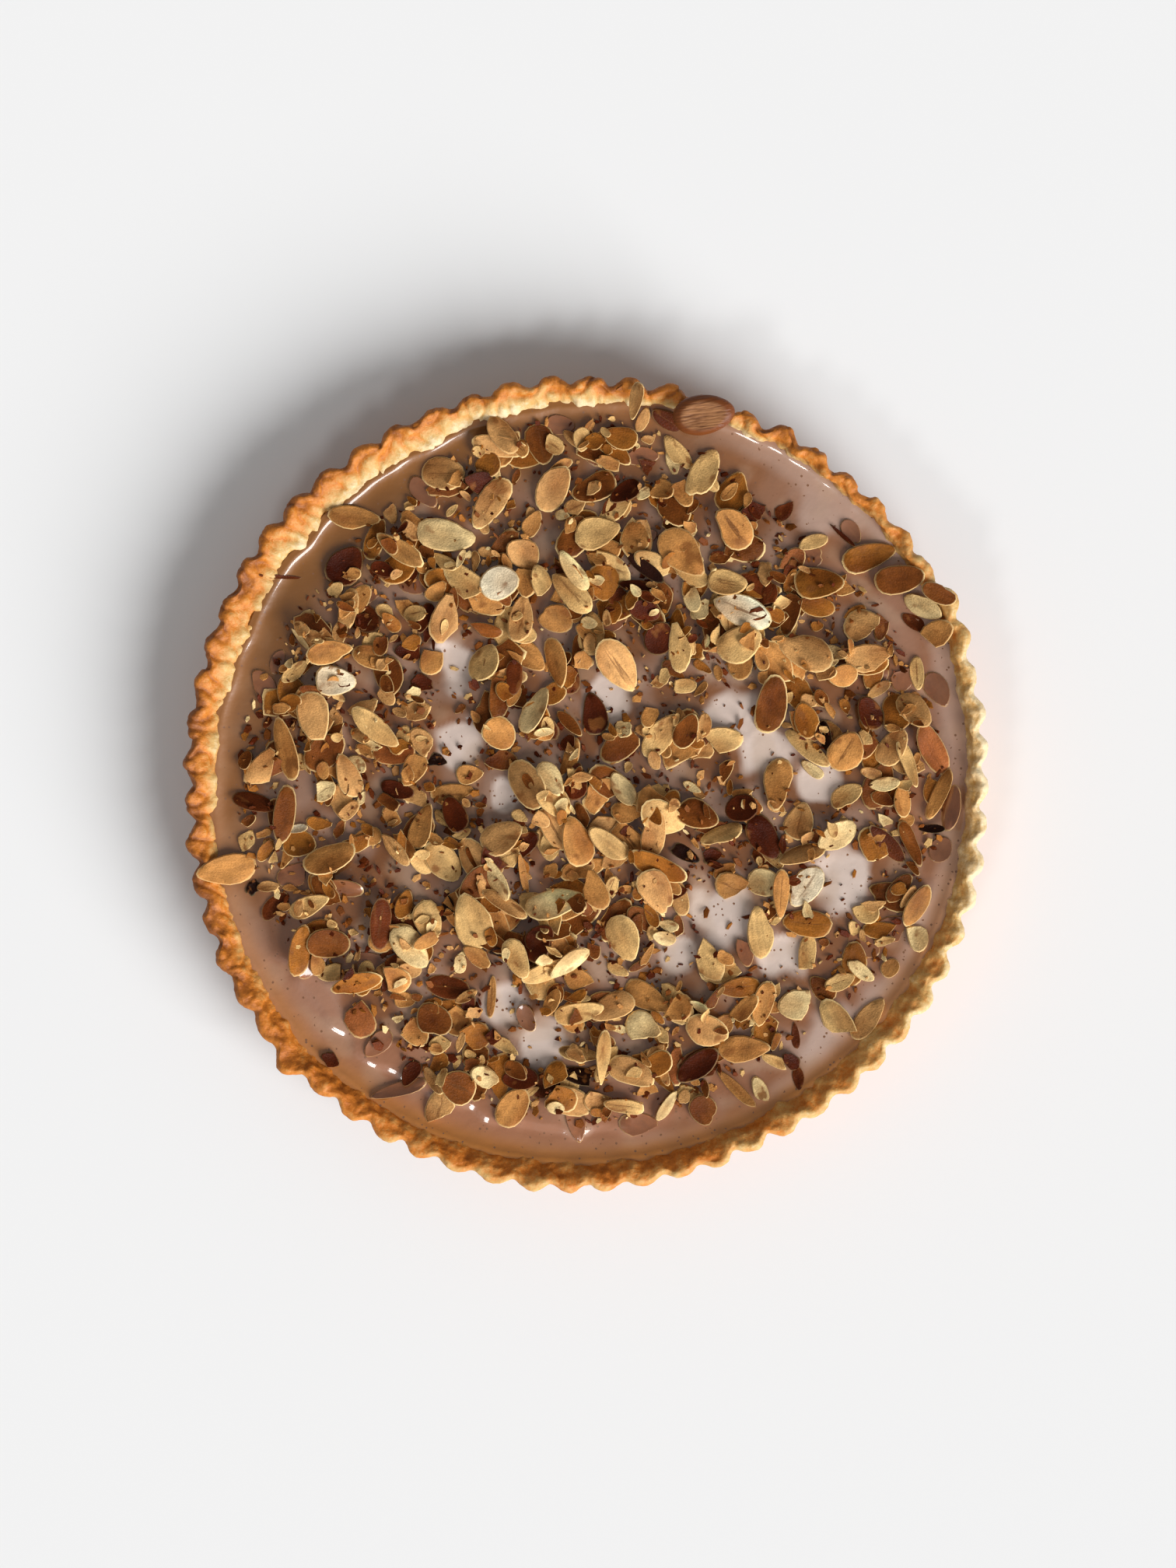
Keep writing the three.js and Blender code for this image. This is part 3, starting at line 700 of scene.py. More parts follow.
def almond_colour(tree):
    """The flake's tone, grained along its length, with toasted spots and a pale rim that is partly a painted
    highlight.
    """
    here = own_place(tree)
    fine = grain(tree, here, 1700, detail=3, rougher=0.65)
    blotch = grain(tree, here, 240, detail=2)
    on_flake = attribute(tree, "place", "Vector")
    streak = grain(tree, stretched(tree, on_flake, (0.8, 3.2, 7.0)), 1.0, detail=3)
    spots = grain(tree, stretched(tree, on_flake, (0.9, 0.7, 3.0)), 1.0)
    light = maths(tree, "MULTIPLY", maths(tree, "ADD", fine, 0.5), maths(tree, "ADD", blotch, 0.5))
    grained = maths(tree, "ADD", maths(tree, "MULTIPLY", streak, 0.7), 0.65)
    lit = {0: attribute(tree, "tone", "Color"), "Scale": maths(tree, "MULTIPLY", light, grained)}
    shaded = add_node(tree, "VectorMath", lit, operation="SCALE").outputs[0]
    colour = blend(tree, span(tree, spots, 0.61, 0.68, 0.75), shaded, TOAST_SPOT)
    axes = add_node(tree, "SeparateXYZ", {0: on_flake}).outputs
    wander = maths(tree, "MULTIPLY", maths(tree, "SUBTRACT", streak, 0.5), 0.9)
    off_seam = maths(tree, "ABSOLUTE", maths(tree, "ADD", axes["Y"], wander))
    seam = span(tree, off_seam, 0.1, 0.02, 0.8)
    seam_end = span(tree, maths(tree, "ABSOLUTE", axes["X"]), 0.85, 0.4)
    any_seam = add_node(tree, "TexWhiteNoise", {"W": axes["Z"]}, noise_dimensions="1D").outputs["Value"]
    seam = maths(tree, "MULTIPLY", seam, maths(tree, "GREATER_THAN", any_seam, 0.87))
    colour = blend(tree, maths(tree, "MULTIPLY", seam, seam_end), colour, SEAM_BROWN)
    # The pale rim is partly a painted highlight.
    pale_rim_and_highlight = maths(tree, "MULTIPLY", attribute(tree, "edge"), 1.5, clamp=True)
    return blend(tree, pale_rim_and_highlight, colour, EDGE_CREAM), fine


almond_finish, tree, surface = new_finish("toasted_almond", Roughness=0.36, Specular_IOR_Level=0.08)
colour, fine = almond_colour(tree)
tree.links.new(colour, surface.inputs["Base Color"])
bump(tree, surface, fine, 0.0004, 0.7)

crumb_copies = scatter_crumbs(CRUMBS_UNDER, longest=4.5)

# -----------------------------------------------------------
# The flaked almonds
# Almonds cut into slices about 1 mm thick and toasted with the tart: whole ovals and teardrops,
# broken halves, narrow slivers, scraps and brown skins, from cream to burnt. Each one lies on the
# icing, on the crust or on the flakes under it. Rows are x, y, length, width and turn.
# -----------------------------------------------------------
BROKEN, SLIVER, SCRAP = "broken", "sliver", "scrap"

LOW_FLAKES = {
    "toasted": [(-78, 90, 18, 8, -8), (-72, 43, 13.5, 8, -15, BROKEN), (64, 41, 16, 11, -45),
                (103, -62, 7, 6, 50)],
    "tan": [(-29, 114, 19, 7, -10), (-82, -6, 13, 8, -75), (-10.6, -15, 16, 8, -60),
            (31.6, -37.6, 14, 6, -75),
            (73, -23.5, 17, 6, 15), (-49, -109, 12, 10, 80, BROKEN), (4, -106.5, 9, 8, 30, BROKEN)],
    "pale": [(-98, 38, 11, 5, 42), (-62, 15, 10.5, 5, 75), (-114.6, -19, 8, 6, 70, SCRAP),
             (-93, -41, 14.7, 7, 22),
             (-48, -26, 16, 10.5, -45), (-10, -6, 12.6, 9.4, -50), (75, -56.7, 12, 6, 85, BROKEN),
             (86, -66.7, 10.7, 6, 22), (95, -43, 9, 8, -40, BROKEN), (-2, -91, 14.4, 5, -10),
             (64, -93.4, 9.7, 4, -25, BROKEN), (35.5, -104.7, 9.4, 5, -25, BROKEN)],
    "cream": [(-96, 49, 9.5, 2, -50, SLIVER), (112.5, -52, 9.4, 7, -75, BROKEN), (27.6, -108.6, 12, 4, 58),
              (59, -103, 9.4, 5, -70, BROKEN)],
    "amber": [(-33, 108, 9, 8.5, 0), (6, 68, 12.5, 11, 80), (50, 98.6, 14.7, 10.5, 60), (78, 60, 13, 7, -8),
              (-96.5, -20, 11.5, 9, 0), (97, -20, 12, 9, -70, BROKEN), (-96, -56, 18, 7.3, 82),
              (-37, -85, 10.5, 9.4, 20, BROKEN), (-10, -98, 10, 8.4, 80, BROKEN),
              (-8, -106, 11, 9, -10, BROKEN)],
    "brown": [(100, 53, 9.4, 5, 80, BROKEN), (99, 0, 18, 10.5, 75), (80, -69, 10.7, 7.3, -40),
              (40, -110, 10.7, 9.4, -60)],
    "skin": [(-103, 70, 15, 1.3, -3, SLIVER), (67, 92.6, 8, 6, 70, BROKEN), (57.5, 66, 16, 10, -32),
             (111, 55, 9, 5, -35), (-112, -6, 15, 6, -15),
             (-46.5, -68.5, 15, 8, -10), (71, -85, 9, 3, -85, SLIVER), (72, -99.4, 8, 4, -85, SLIVER)],
    "dark": [(-81, 74, 15, 12, 60), (-68, 72, 7, 6, 0, SCRAP), (-75, 55, 6, 6, 0, SCRAP),
             (-54, 56, 11, 5, 70), (-60, 45, 9, 7, 0), (-35.5, 102, 9.5, 7, 20, BROKEN),
             (18, 67, 13.6, 4, -5), (20, 58.5, 11, 7, -15), (25, 49, 11.5, 10.5, 50),
             (57, 92.6, 8, 3.4, -60, SLIVER),
             (87, 84, 11.5, 1.6, -42, SLIVER), (-63.5, -2, 12, 6, -18), (-55, 34, 8.4, 6, -20, SCRAP),
             (-3, 1, 13, 8, 85), (-6, 13.5, 7, 5, 80, SCRAP), (43, -24, 7, 5, 15, SCRAP),
             (-59, -97.6, 9.7, 6, 60),
             (-86, -93, 7, 5, -45, SCRAP), (-31, -85, 6, 6, 0, SCRAP), (-22, -99, 12.6, 8.4, 0),
             (69.5, -93.7, 7, 5, -30, SCRAP)],
    "burnt": [(-50, 8, 7, 5, -10, SCRAP), (-112, -35, 6, 5, 60, SCRAP), (-46.5, -42, 9.4, 5, 80, SCRAP),
              (34, -23.5, 10.5, 5, -30), (81, 16, 11.5, 4, -80), (117, -15, 9, 3, 0, SLIVER),
              (-3, -98, 10.5, 6, -15, BROKEN)],
}
MIDDLE_FLAKES = {
    "cream_edge": [(-62.5, 79, 19, 7, -33), (99, 32, 9.4, 4, 35, SLIVER)],
    "white": [(53, 58.5, 21, 11, -25), (-84, 35, 13.6, 10.5, 0), (-97.6, -15, 8, 3, 8, SLIVER),
              (7, 20, 4, 4, 0, SCRAP), (74.5, -34.5, 16, 10, 55)],
    "cream": [(-42, 76, 7, 2.6, 70, SLIVER), (-58, 30.5, 6, 5, 30, SCRAP), (12.4, 18.7, 7, 6, 10, SCRAP),
              (-11.4, 2, 13, 7.3, -55), (36, -1, 7, 3, -30, SLIVER), (-10, -40, 21, 10, 12),
              (-30, -32, 16, 6, -62),
              (76.6, 5, 9, 4, -35, SLIVER), (101, -12.5, 6, 4, -20, SCRAP), (85, -17.4, 14.7, 9, 35),
              (60, -33, 11, 9.4, -10), (-59, -55, 17, 10, -55), (-14, -59, 6, 4, 15, SCRAP),
              (26.6, -52, 8.4, 5, -15), (38.6, -75, 8, 3, -30, SLIVER), (-34, -98.6, 10, 7, -35, BROKEN),
              (93, -63, 11, 5, -40)],
    "pale": [(31, 112, 14, 6.5, -55), (40, 105, 18, 9.5, 65), (35.5, 71, 13, 7, -30),
             (-15, 69, 10.5, 7, -70, BROKEN),
             (-4.6, 64.5, 18, 8.5, -47), (77, 82, 10.5, 5, 15), (52, 47, 16, 12, 30), (-71, 19, 20, 8, -38),
             (-53, -46, 14, 9.4, -70), (-34, 41, 13.6, 9.7, 60), (25.5, 16.6, 18, 9, 55),
             (46.5, 15, 14, 9, 5, BROKEN), (26, -11.4, 16, 11.5, -20), (46, -17, 15, 6, 20),
             (112, 37.6, 11.5, 5, -85),
             (109, 7, 17, 5, -70), (75, 12, 19, 6, -38), (88, -3.6, 12, 7, 30), (-38, -46, 20, 13, -70),
             (-23, -58.6, 14.4, 8, -65), (-2, -77, 17, 7.3, 12), (41.5, -60, 15, 9.4, -50, BROKEN),
             (13, -108.6, 14, 5, -8), (84.5, -79, 15, 9.4, -60, BROKEN)],
    "tan": [(-48, 105, 14.7, 11.3, -5), (-47, 55.6, 17, 10, 60, BROKEN), (-28, 117.7, 15, 8, -52),
            (-32, 95, 20, 9.5, 57),
            (19.5, 123, 8.6, 4, 65), (-21.6, 56, 16.5, 8.4, 80), (74, 45, 20, 12, -25), (-80, 3, 16, 8, -70),
            (-109, 5, 15, 9.4, 38, BROKEN), (-55, 14.5, 11, 7, -60, BROKEN), (-64, -22, 14, 5, -50),
            (40, 19, 10.5, 5, 80, BROKEN), (24, -36, 16, 11, -60), (-27, -40, 17.5, 5, -32),
            (111, 25, 14, 9.4, -50),
            (103.6, 12.7, 14, 9, 60), (109, -38, 9, 3, 55, SLIVER), (-51.5, -100, 11, 4, -55, SLIVER),
            (9, -75, 16, 9, 22), (41, -83, 15, 11, -12), (15.6, -97, 17, 9.4, -25), (95.5, -79, 17, 7.3, 55)],
    "toasted": [(-86, 44.6, 16, 8, 12), (-18, 88, 10, 6, 60), (26, 99.6, 8, 7, -10, BROKEN),
                (33, 98, 9.5, 6.5, -60, BROKEN),
                (-20, 68, 10.5, 7, -80, BROKEN), (3.5, 76, 8, 4, -15, BROKEN), (50, 86.5, 16, 11.5, -50),
                (119, 51, 10.5, 9, 30, BROKEN), (-86, -25, 18.6, 9.4, 22), (-121, -29, 20, 10.5, 12),
                (-58, 4.6, 12, 8, 65), (-55, -14, 16, 7.6, 70), (-52, 41, 8.4, 8, 80, BROKEN),
                (-39, 3.5, 9.4, 7, 10),
                (-1, 41.5, 7, 7, 30, SCRAP), (-17, 18, 10.5, 6, 30, BROKEN), (-29, 17, 12, 11, -60),
                (13.7, -9.6, 10.5, 8.4, -30, BROKEN), (-11.7, -29, 5, 5, 0, SCRAP),
                (-21, -30, 14, 2.6, -80, SLIVER),
                (107, -5, 12.6, 6, -88), (65, 0, 18, 10, 85), (-64, -66, 10.7, 9, -20, BROKEN),
                (-57, -84, 10, 9, -50, BROKEN), (-36.5, -58, 11, 6, -35), (-2.5, -66, 10, 8, -35, BROKEN),
                (21, -57.5, 9, 2.6, 62, SLIVER), (21, -72, 17, 9, -28), (31, -75, 10, 9.4, 0, BROKEN),
                (-11.4, -73.5, 10, 5, 65, SLIVER), (-31.6, -71.7, 14.4, 3, 85, SLIVER),
                (-24.5, -109, 15, 10, 58),
                (51, -103, 18, 4, -45, SLIVER), (60, -74, 16, 7.3, 75), (54, -75.6, 12, 6, 45, BROKEN)],
    "amber": [(12, 117, 11.5, 8, -15), (96, 77, 19, 9.4, 17), (79, 68, 17, 11, 3), (-61, -40.5, 10.5, 6, 75),
              (24.5, -28, 21, 8, -22), (74.5, 21.6, 12.6, 8.4, -70), (75, -47, 17, 9.4, -5),
              (-77, -67, 18, 7, 15), (52, -68.5, 14.4, 7, 5), (23.4, -94.7, 13, 8.4, 25)],
    "brown": [(3, 100, 16, 9.5, 25), (-88, 11, 16, 11, 40), (-101.5, -10, 20, 7.3, 82), (34, 18, 12.6, 8, 65),
              (38, -10, 15, 10, -18), (110, -20, 17, 5, -65), (106, -35, 12, 6, 50),
              (-86.6, -53.6, 14.7, 10, 0), (-43, -102, 12.6, 11.5, -30)],
    "dark": [(13.5, 98.6, 12, 7, 35), (-44, -10, 13, 8, -70), (3, 24, 14.7, 9, -80), (96, 24, 12, 8.4, -60),
             (60, -18, 17, 10, -62), (52.5, -8, 11, 9.4, 20), (-15, -52, 11, 9.4, 40)],
    "burnt": [(20, 73, 16, 4.5, -38), (-29, -56.5, 7.6, 3, -15, SCRAP)],
    "skin": [(27.6, 123, 11.5, 6, -30), (21, 107, 6, 6, 0, SCRAP), (-105, -41, 12, 6, 50),
             (-69, -47, 17.5, 7, 85), (-24, 36, 12, 6, 85), (102, -20, 17, 6, -45)],
    "coated": [(117, 12, 19, 8.4, -62), (-76, -80, 12, 10, -60, BROKEN)],
}
TOP_FLAKES = {
    "cream": [(-47, 84, 20, 11, -8), (-4, 72, 16, 6, -55), (114, 60, 14, 7, -32),
              (-88, -2, 8.4, 7, 30, BROKEN), (-17, 25, 17, 7, 60), (-14, 17.6, 7, 3, 10, SLIVER),
              (12.7, -1.5, 13, 7, -55), (101, 0, 10.5, 5, 5),
              (-5.4, -60, 16, 6, 38), (19, -82, 12, 10.5, -50, BROKEN), (70.6, -74.5, 11.5, 10.5, 0, BROKEN)],
    "white": [(-29, 68, 13.6, 11.5, 20)],
    "pale": [(4, 85, 16, 11.5, 15), (32, 46, 17, 8, 85, BROKEN), (48, 68, 13.6, 9, -10),
             (7.5, -20, 16, 7.3, -38),
             (59, -50, 18, 9, -82), (13, -52, 16.5, 11, -65), (6, -92, 18.6, 5, 85)],
    "tan": [(-11, 100, 17, 10.5, 65), (17, 129, 13, 4.7, 80), (-21, 78, 12, 10, -25),
            (93, 53.5, 11.5, 11.5, -15, BROKEN), (-91.5, 23, 17, 11, -80), (11, 40, 20, 12, -55),
            (-19.5, 0, 18, 11, -58), (-28, -17.7, 15, 11, 30)],
    "toasted": [(33, 78, 20, 13, -45), (-10, 56, 12, 9.5, -5), (55, 49, 7, 6, 70, SCRAP),
                (-101, 12, 22, 7, -75),
                (-9.6, 41, 17.5, 7, -75), (-3, -19, 17.5, 10.5, -70), (49, -34.5, 11, 9.7, -20, BROKEN),
                (3, -36, 14, 8.6, -55, BROKEN), (88, 11, 14.4, 12, 60), (119.6, -3.3, 19, 5, 65),
                (66, -37, 17, 6, 87),
                (112, -41, 16, 7, 58), (-54, -53, 9, 5, 25, BROKEN), (53.6, -89.5, 18, 9.4, 0)],
    "brown": [(106, 69, 17, 9.7, 6), (119, 64, 12.6, 6.3, -24), (-3, -40, 7, 7, 0, SCRAP),
              (63, 27, 20, 10.5, 78), (-51, -79.5, 13, 10.7, -25)],
    "dark": [(38, -95, 17, 8.4, 38)],
    "skin": [(-81, 35, 5, 5, 0, SCRAP), (70.6, -32.4, 5, 4, 0, SCRAP)],
}
FLAKE_THICKNESS = 1.25
SKIN_THICKNESS = 0.45
FLAKE_SINK = 0.25
STEEPEST = 0.5
PROPPED = 0.17
NESTED = 0.62
HIGHEST = 33
# Painted shade: the share of its colour that a flake keeps when it lies low in the heap.
LOW_SHADE = 0.78
HEAP_HEIGHT = 5
LEANING_BELOW = 0.42
FLAKE_SIDES = 18
FLAKE_BEVEL = 0.085
FLAKE_BAND = 0.38
FLAKE_BEVEL_DROP = 0.5
PROBES_INSIDE = 0.95
CURLED = ("skin", "dark", "burnt")
EDGE_PALE = {"skin": 0.2, "burnt": 0.2, "dark": 0.2, "cream_edge": 1.5}
BURIED_FLAKES = 230
CHIPS = 520


def cut_blank(sides):
    """A round blank, 1 thick: a wall, a bevelled edge, a band and a poked middle, and a base."""
    blank = bmesh.new()
    bmesh.ops.create_cone(blank, cap_ends=True, segments=sides, radius1=1, radius2=1, depth=1)
    blank.normal_update()
    top = [face for face in blank.faces if face.normal.z > 0.9]
    for thickness in (FLAKE_BEVEL, FLAKE_BAND):
        bmesh.ops.inset_region(blank, faces=top, thickness=thickness, use_even_offset=True)
    bmesh.ops.poke(blank, faces=[face for face in blank.faces if len(face.verts) == sides])
    return read_blank(blank)


flake_points, flake_faces = cut_blank(FLAKE_SIDES)
flake_reach = np.hypot(flake_points[:, 0], flake_points[:, 1])
flake_angle = np.arctan2(flake_points[:, 1], flake_points[:, 0])
flake_side = np.rint(flake_angle / (math.tau / FLAKE_SIDES)).astype(int) % FLAKE_SIDES
flake_top = flake_points[:, 2] > 0
flake_rim = flake_reach > 1 - FLAKE_BEVEL / 2

# The plane that a flake rests on touches three of its footprint points, with its middle between
# them. Which threes hold the middle is the same for every flake.
probe_angles = np.concatenate([np.arange(12) * math.tau / 12, 0.3 + np.arange(6) * math.tau / 6])
probe_reach = np.array([1] * 12 + [0.55] * 6)
probes = np.stack([probe_reach * np.cos(probe_angles), probe_reach * np.sin(probe_angles)], axis=1)
threes, holds = [], []
for three in combinations(range(len(probes)), 3):
    corners = np.vstack([probes[list(three)].T, np.ones(3)])
    if abs(np.linalg.det(corners)) < 0.05:
        continue
    share = np.linalg.solve(corners, [0, 0, 1])
    if share.min() > 0.04:
        threes.append(three)
        holds.append(share)
threes, holds = np.array(threes), np.array(holds)
probes *= PROBES_INSIDE


def resting_plane(heights, across, up):
    """Slopes of the plane on which footprint points of these heights come to rest."""
    levels = (holds * heights[threes]).sum(axis=1)
    a, b, c = threes[int(np.argmax(levels))]
    sides = np.array([[across[b] - across[a], up[b] - up[a]], [across[c] - across[a], up[c] - up[a]]])
    if abs(np.linalg.det(sides)) < 1e-6:
        return np.zeros(2)
    slope = np.linalg.solve(sides, [heights[b] - heights[a], heights[c] - heights[a]])
    steep = np.hypot(*slope)
    return slope * min(1, STEEPEST / max(steep, 1e-6))


def flake_outline(kind):
    """A blank's points cut to a chance outline: places along and across the flake, -1 to 1."""
    taper = dice.uniform(0.05, 0.3)
    reach = np.ones(len(flake_angle))
    for count, by in enumerate((0.035, 0.03, 0.02), 2):
        reach += by * np.sin(count * flake_angle + dice.uniform(0, math.tau))
    ragged = np.array([dice.uniform(-1, 1) for _ in range(FLAKE_SIDES)])[flake_side]
    from_nick = turned_away(flake_angle, dice.uniform(0, math.tau))
    nick = max(0, dice.uniform(-0.25, 0.24))
    reach += 0.018 * ragged - nick * np.exp(-(from_nick / 0.34) ** 2)
    if kind == BROKEN:
        cut, slant = dice.uniform(0.0, 0.35), dice.uniform(-0.5, 0.5)
        facing = np.cos(flake_angle) - slant * np.sin(flake_angle)
        to_cut = np.where(facing > 0.05, (cut + 0.12) / np.maximum(facing, 0.05), 9)
        reach = np.where(to_cut < reach, to_cut * (1 + 0.1 * ragged), reach)
    elif kind == SCRAP:
        corners = dice.choice((3, 4, 5))
        corner = math.tau / corners
        facet = np.remainder(flake_angle + dice.uniform(0, math.tau), corner) - corner / 2
        reach *= (0.9 + 0.1 * ragged) * (math.cos(corner / 2) / np.cos(facet)) ** 0.7
    along = flake_reach * reach * np.cos(flake_angle)
    aside = flake_reach * reach * np.sin(flake_angle) * (1 - taper * along)
    along, aside = (2 * (at - at.min()) / (at.max() - at.min()) - 1 for at in (along, aside))
    return (-along, aside) if dice.random() < 0.5 else (along, aside)


def flake_colours(tone, level, along, aside):
    """A flake's tone, with painted shade low in the heap, shaded to one side and towards its middle."""
    low_shade = LOW_SHADE + (1 - LOW_SHADE) * smoothstep(level, ICING_TOP, ICING_TOP + HEAP_HEIGHT)
    colour = np.array(TONES[tone]) * dice.uniform(0.88, 1.14) * low_shade
    way, by = dice.uniform(0, math.tau), dice.uniform(0.1, 0.55)
    shade = 1 + by * (along * math.cos(way) + aside * math.sin(way))
    shade += dice.uniform(-0.5, 0.12) * (1 - flake_reach)
    warmth = np.minimum(shade, 1)[:, None] ** np.array([0.8, 1.15, 1.45])
    return np.clip(colour * warmth * np.clip(shade, 1, 1.16)[:, None], 0.0005, 0.88)


def lay_flake(x, y, length, width, turn, kind, tone, sunk=FLAKE_SINK):
    """Shapes one flake, lets it come to rest, and raises the ground under the next ones."""
    thickness = SKIN_THICKNESS if tone in ("skin", "burnt") else FLAKE_THICKNESS
    thickness *= dice.uniform(0.85, 1.15)
    along, aside = flake_outline(kind)
    spin = math.radians(turn)
    bend, cup, twist = dice.uniform(-0.2, 0.75), dice.uniform(-0.15, 0.4), dice.uniform(-0.5, 0.5)
    if tone in CURLED:
        bend, cup = bend + 0.5, cup + 0.4

    def curve(along, aside):
        return (bend * along**2 + twist * along * aside) * length / 20 + cup * aside**2 * width / 10

    def on_tart(along, aside):
        return turned_by(along * length / 2, aside * width / 2, spin)

    across, up = on_tart(along, aside)
    heart = 1 - 0.12 * (flake_reach < 0.7)
    top = thickness * heart - flake_rim * FLAKE_BEVEL_DROP * thickness
    rise = curve(along, aside) + np.where(flake_top, top, 0)
    probe_across, probe_up = on_tart(*probes.T)
    under = ground[cell_of(x + probe_across, y + probe_up)] - curve(*probes.T)
    if width < LEANING_BELOW * length and kind != SLIVER and thickness > SKIN_THICKNESS:
        lean = dice.choice((-1, 1)) * dice.uniform(0.35, 0.8)
        slope = np.array(turned_by(0, lean, spin))
    else:
        slope = resting_plane(under, probe_across, probe_up)
        prop_way, prop = dice.uniform(0, math.tau), PROPPED * dice.random() * (sunk < 0.5)
        slope = slope + turned_by(prop, 0, prop_way)
    level = float(np.max(under - slope[0] * probe_across - slope[1] * probe_up)) - sunk
    leaning = slope[0] * across + slope[1] * up + rise
    level = min(level, HIGHEST - float(leaning.max()))
    points = np.stack([x + across, y + up, level + leaning], axis=1)

    half = length / 2 + 1
    lines, columns = cell_of(np.array([x - half, x + half]), np.array([y - half, y + half]))
    near = np.s_[lines[0]:lines[1] + 1, columns[0]:columns[1] + 1]
    off_x, off_y = grid_x[near] - x, grid_y[near] - y
    cell_along, cell_aside = turned_by(off_x, off_y, -spin)
    cell_along, cell_aside = cell_along * 2 / length, cell_aside * 2 / width
    covered = cell_along**2 + cell_aside**2 < 0.92
    cell_rise = curve(cell_along, cell_aside) + NESTED * thickness
    raised = level + slope[0] * off_x + slope[1] * off_y + cell_rise
    ground[near] = np.where(covered, np.maximum(ground[near], raised), ground[near])

    colours = flake_colours(tone, level, along, aside)
    edge = flake_rim * EDGE_PALE.get(tone, 1) * dice.uniform(0.35, 0.95)
    place = np.stack([along, aside, np.full(len(along), dice.uniform(0, 9))], axis=1)
    return points, colours, place, edge


def lay_layer(flakes, **how):
    """Lays the flakes of a layer in a mixed order. Gives each one's kind and its copy."""
    rows = [(tone, row) for tone, tone_rows in flakes.items() for row in tone_rows]
    dice.shuffle(rows)
    laid = []
    for tone, (x, y, length, width, turn, *kind) in rows:
        kind = kind[0] if kind else "whole"
        laid.append((kind, lay_flake(x, y, length, width, turn, kind, tone, **how)))
    return laid


GLAZED_FLAKES = {
    "coated": [(-58, 68, 11, 8, -20), (-75.5, 64.5, 10.5, 8, 20, BROKEN), (19, 111, 12, 6.5, 0),
               (9, 56, 10, 9, 30),
               (107, 35.5, 9, 8, 80, BROKEN), (123.5, -8, 16, 6, 80), (-99, -31, 11, 8, 20, BROKEN),
               (-92, -61.4, 12, 5, 40), (-70, -87.6, 12, 7, 40), (-63, -103, 20, 5, 15),
               (-3, -114, 14.4, 7, -82),
               (17.7, -115, 13, 9, -20, BROKEN), (54, -56.7, 10, 6, -80, BROKEN),
               (104, -49, 12, 9, 10, BROKEN)],
    "brown": [(-55, 98.6, 13, 7, -50), (-8.5, 121.6, 10.5, 7, 0), (3, 112, 11, 8, -25), (20, 84, 9, 6, 0),
              (74.5, 76, 12, 7, 15), (90, 85.5, 9.4, 6, -50), (-104, 41.5, 9, 5, 70), (-109, 34, 11, 8, -55),
              (90, 43, 16, 6, 0), (95.5, 35, 16, 9.4, 20), (119, 32, 13, 8.4, -60), (120, -22, 9.4, 8, 60),
              (-83, -35, 17, 6, -5), (-71, -60.7, 16, 7.3, -22), (-20, -79, 10, 6, -70),
              (94, -54, 12.6, 7.3, -35)],
}
glazed = lay_layer(GLAZED_FLAKES, sunk=0.75)


def strew(count, longest, shortest, widest, tones, clear_of_bare):
    """Flakes at chance places between the ones that are laid one by one."""
    laid = []
    while len(laid) < count:
        x, y = chance_place(margin=-longest / 4)
        if bare_share(x, y, grown=1) < clear_of_bare:
            continue
        length = dice.uniform(shortest, longest)
        width = min(length * dice.uniform(0.36, 0.85), widest)
        kind, tone = dice.choice([SCRAP, BROKEN, BROKEN, "whole"]), dice.choice(tones)
        laid.append((kind, lay_flake(x, y, length, width, dice.uniform(-90, 90), kind, tone)))
    return laid


buried_tones = weighted(amber=5, brown=5, toasted=4, tan=3, pale=3, skin=1, dark=1, coated=1)
laid = strew(BURIED_FLAKES, 17, 9, 10, buried_tones, clear_of_bare=1.45)
laid += lay_layer(LOW_FLAKES)
chip_tones = weighted(toasted=6, tan=5, amber=4, brown=4, pale=4, cream=2, dark=1, skin=1)
chips = strew(CHIPS * 2 // 3, 9, 3.5, 6, chip_tones, clear_of_bare=1.2)
laid += lay_layer(MIDDLE_FLAKES)
chips += strew(CHIPS // 3, 7, 3, 4.5, chip_tones, clear_of_bare=1.1)
crumb_copies += scatter_crumbs(CRUMBS_OVER, longest=3)
laid += lay_layer(TOP_FLAKES)


def flake_piece(name, rows, material):
    copies = [copy for _, copy in rows]
    mesh = joined_copies(name, flake_faces, copies)
    keep_values(mesh, "edge", np.concatenate([copy[3] for copy in copies]))
    finish_piece(mesh, material)
    mesh.set_sharp_from_angle(angle=math.radians(48))


for name, kinds in (("whole_flakes", ["whole"]), ("broken_flakes", [BROKEN]),
                    ("slivers_and_scraps", [SLIVER, SCRAP])):
    flake_piece(name, [row for row in laid if row[0] in kinds], almond_finish)
flake_piece("chips", chips, almond_finish)

crumb_mesh = joined_copies("crumbs", crumb_faces, crumb_copies)
finish_piece(crumb_mesh, almond_finish)
crumb_mesh.shade_flat()

SYRUP_PINK = (0.27, 0.105, 0.045)

glazed_finish, tree, surface = new_finish("iced_almond", Roughness=0.4, Coat_Weight=0.9, Coat_Roughness=0.05)
here = own_place(tree)
veil = grain(tree, here, 200, detail=2)
colour, fine = almond_colour(tree)
colour = blend(tree, maths(tree, "MULTIPLY", veil, 0.9), colour, SYRUP_PINK)
tree.links.new(colour, surface.inputs["Base Color"])
bump(tree, surface, veil, 0.0004, 0.4)
flake_piece("glazed_flakes", glazed, glazed_finish)

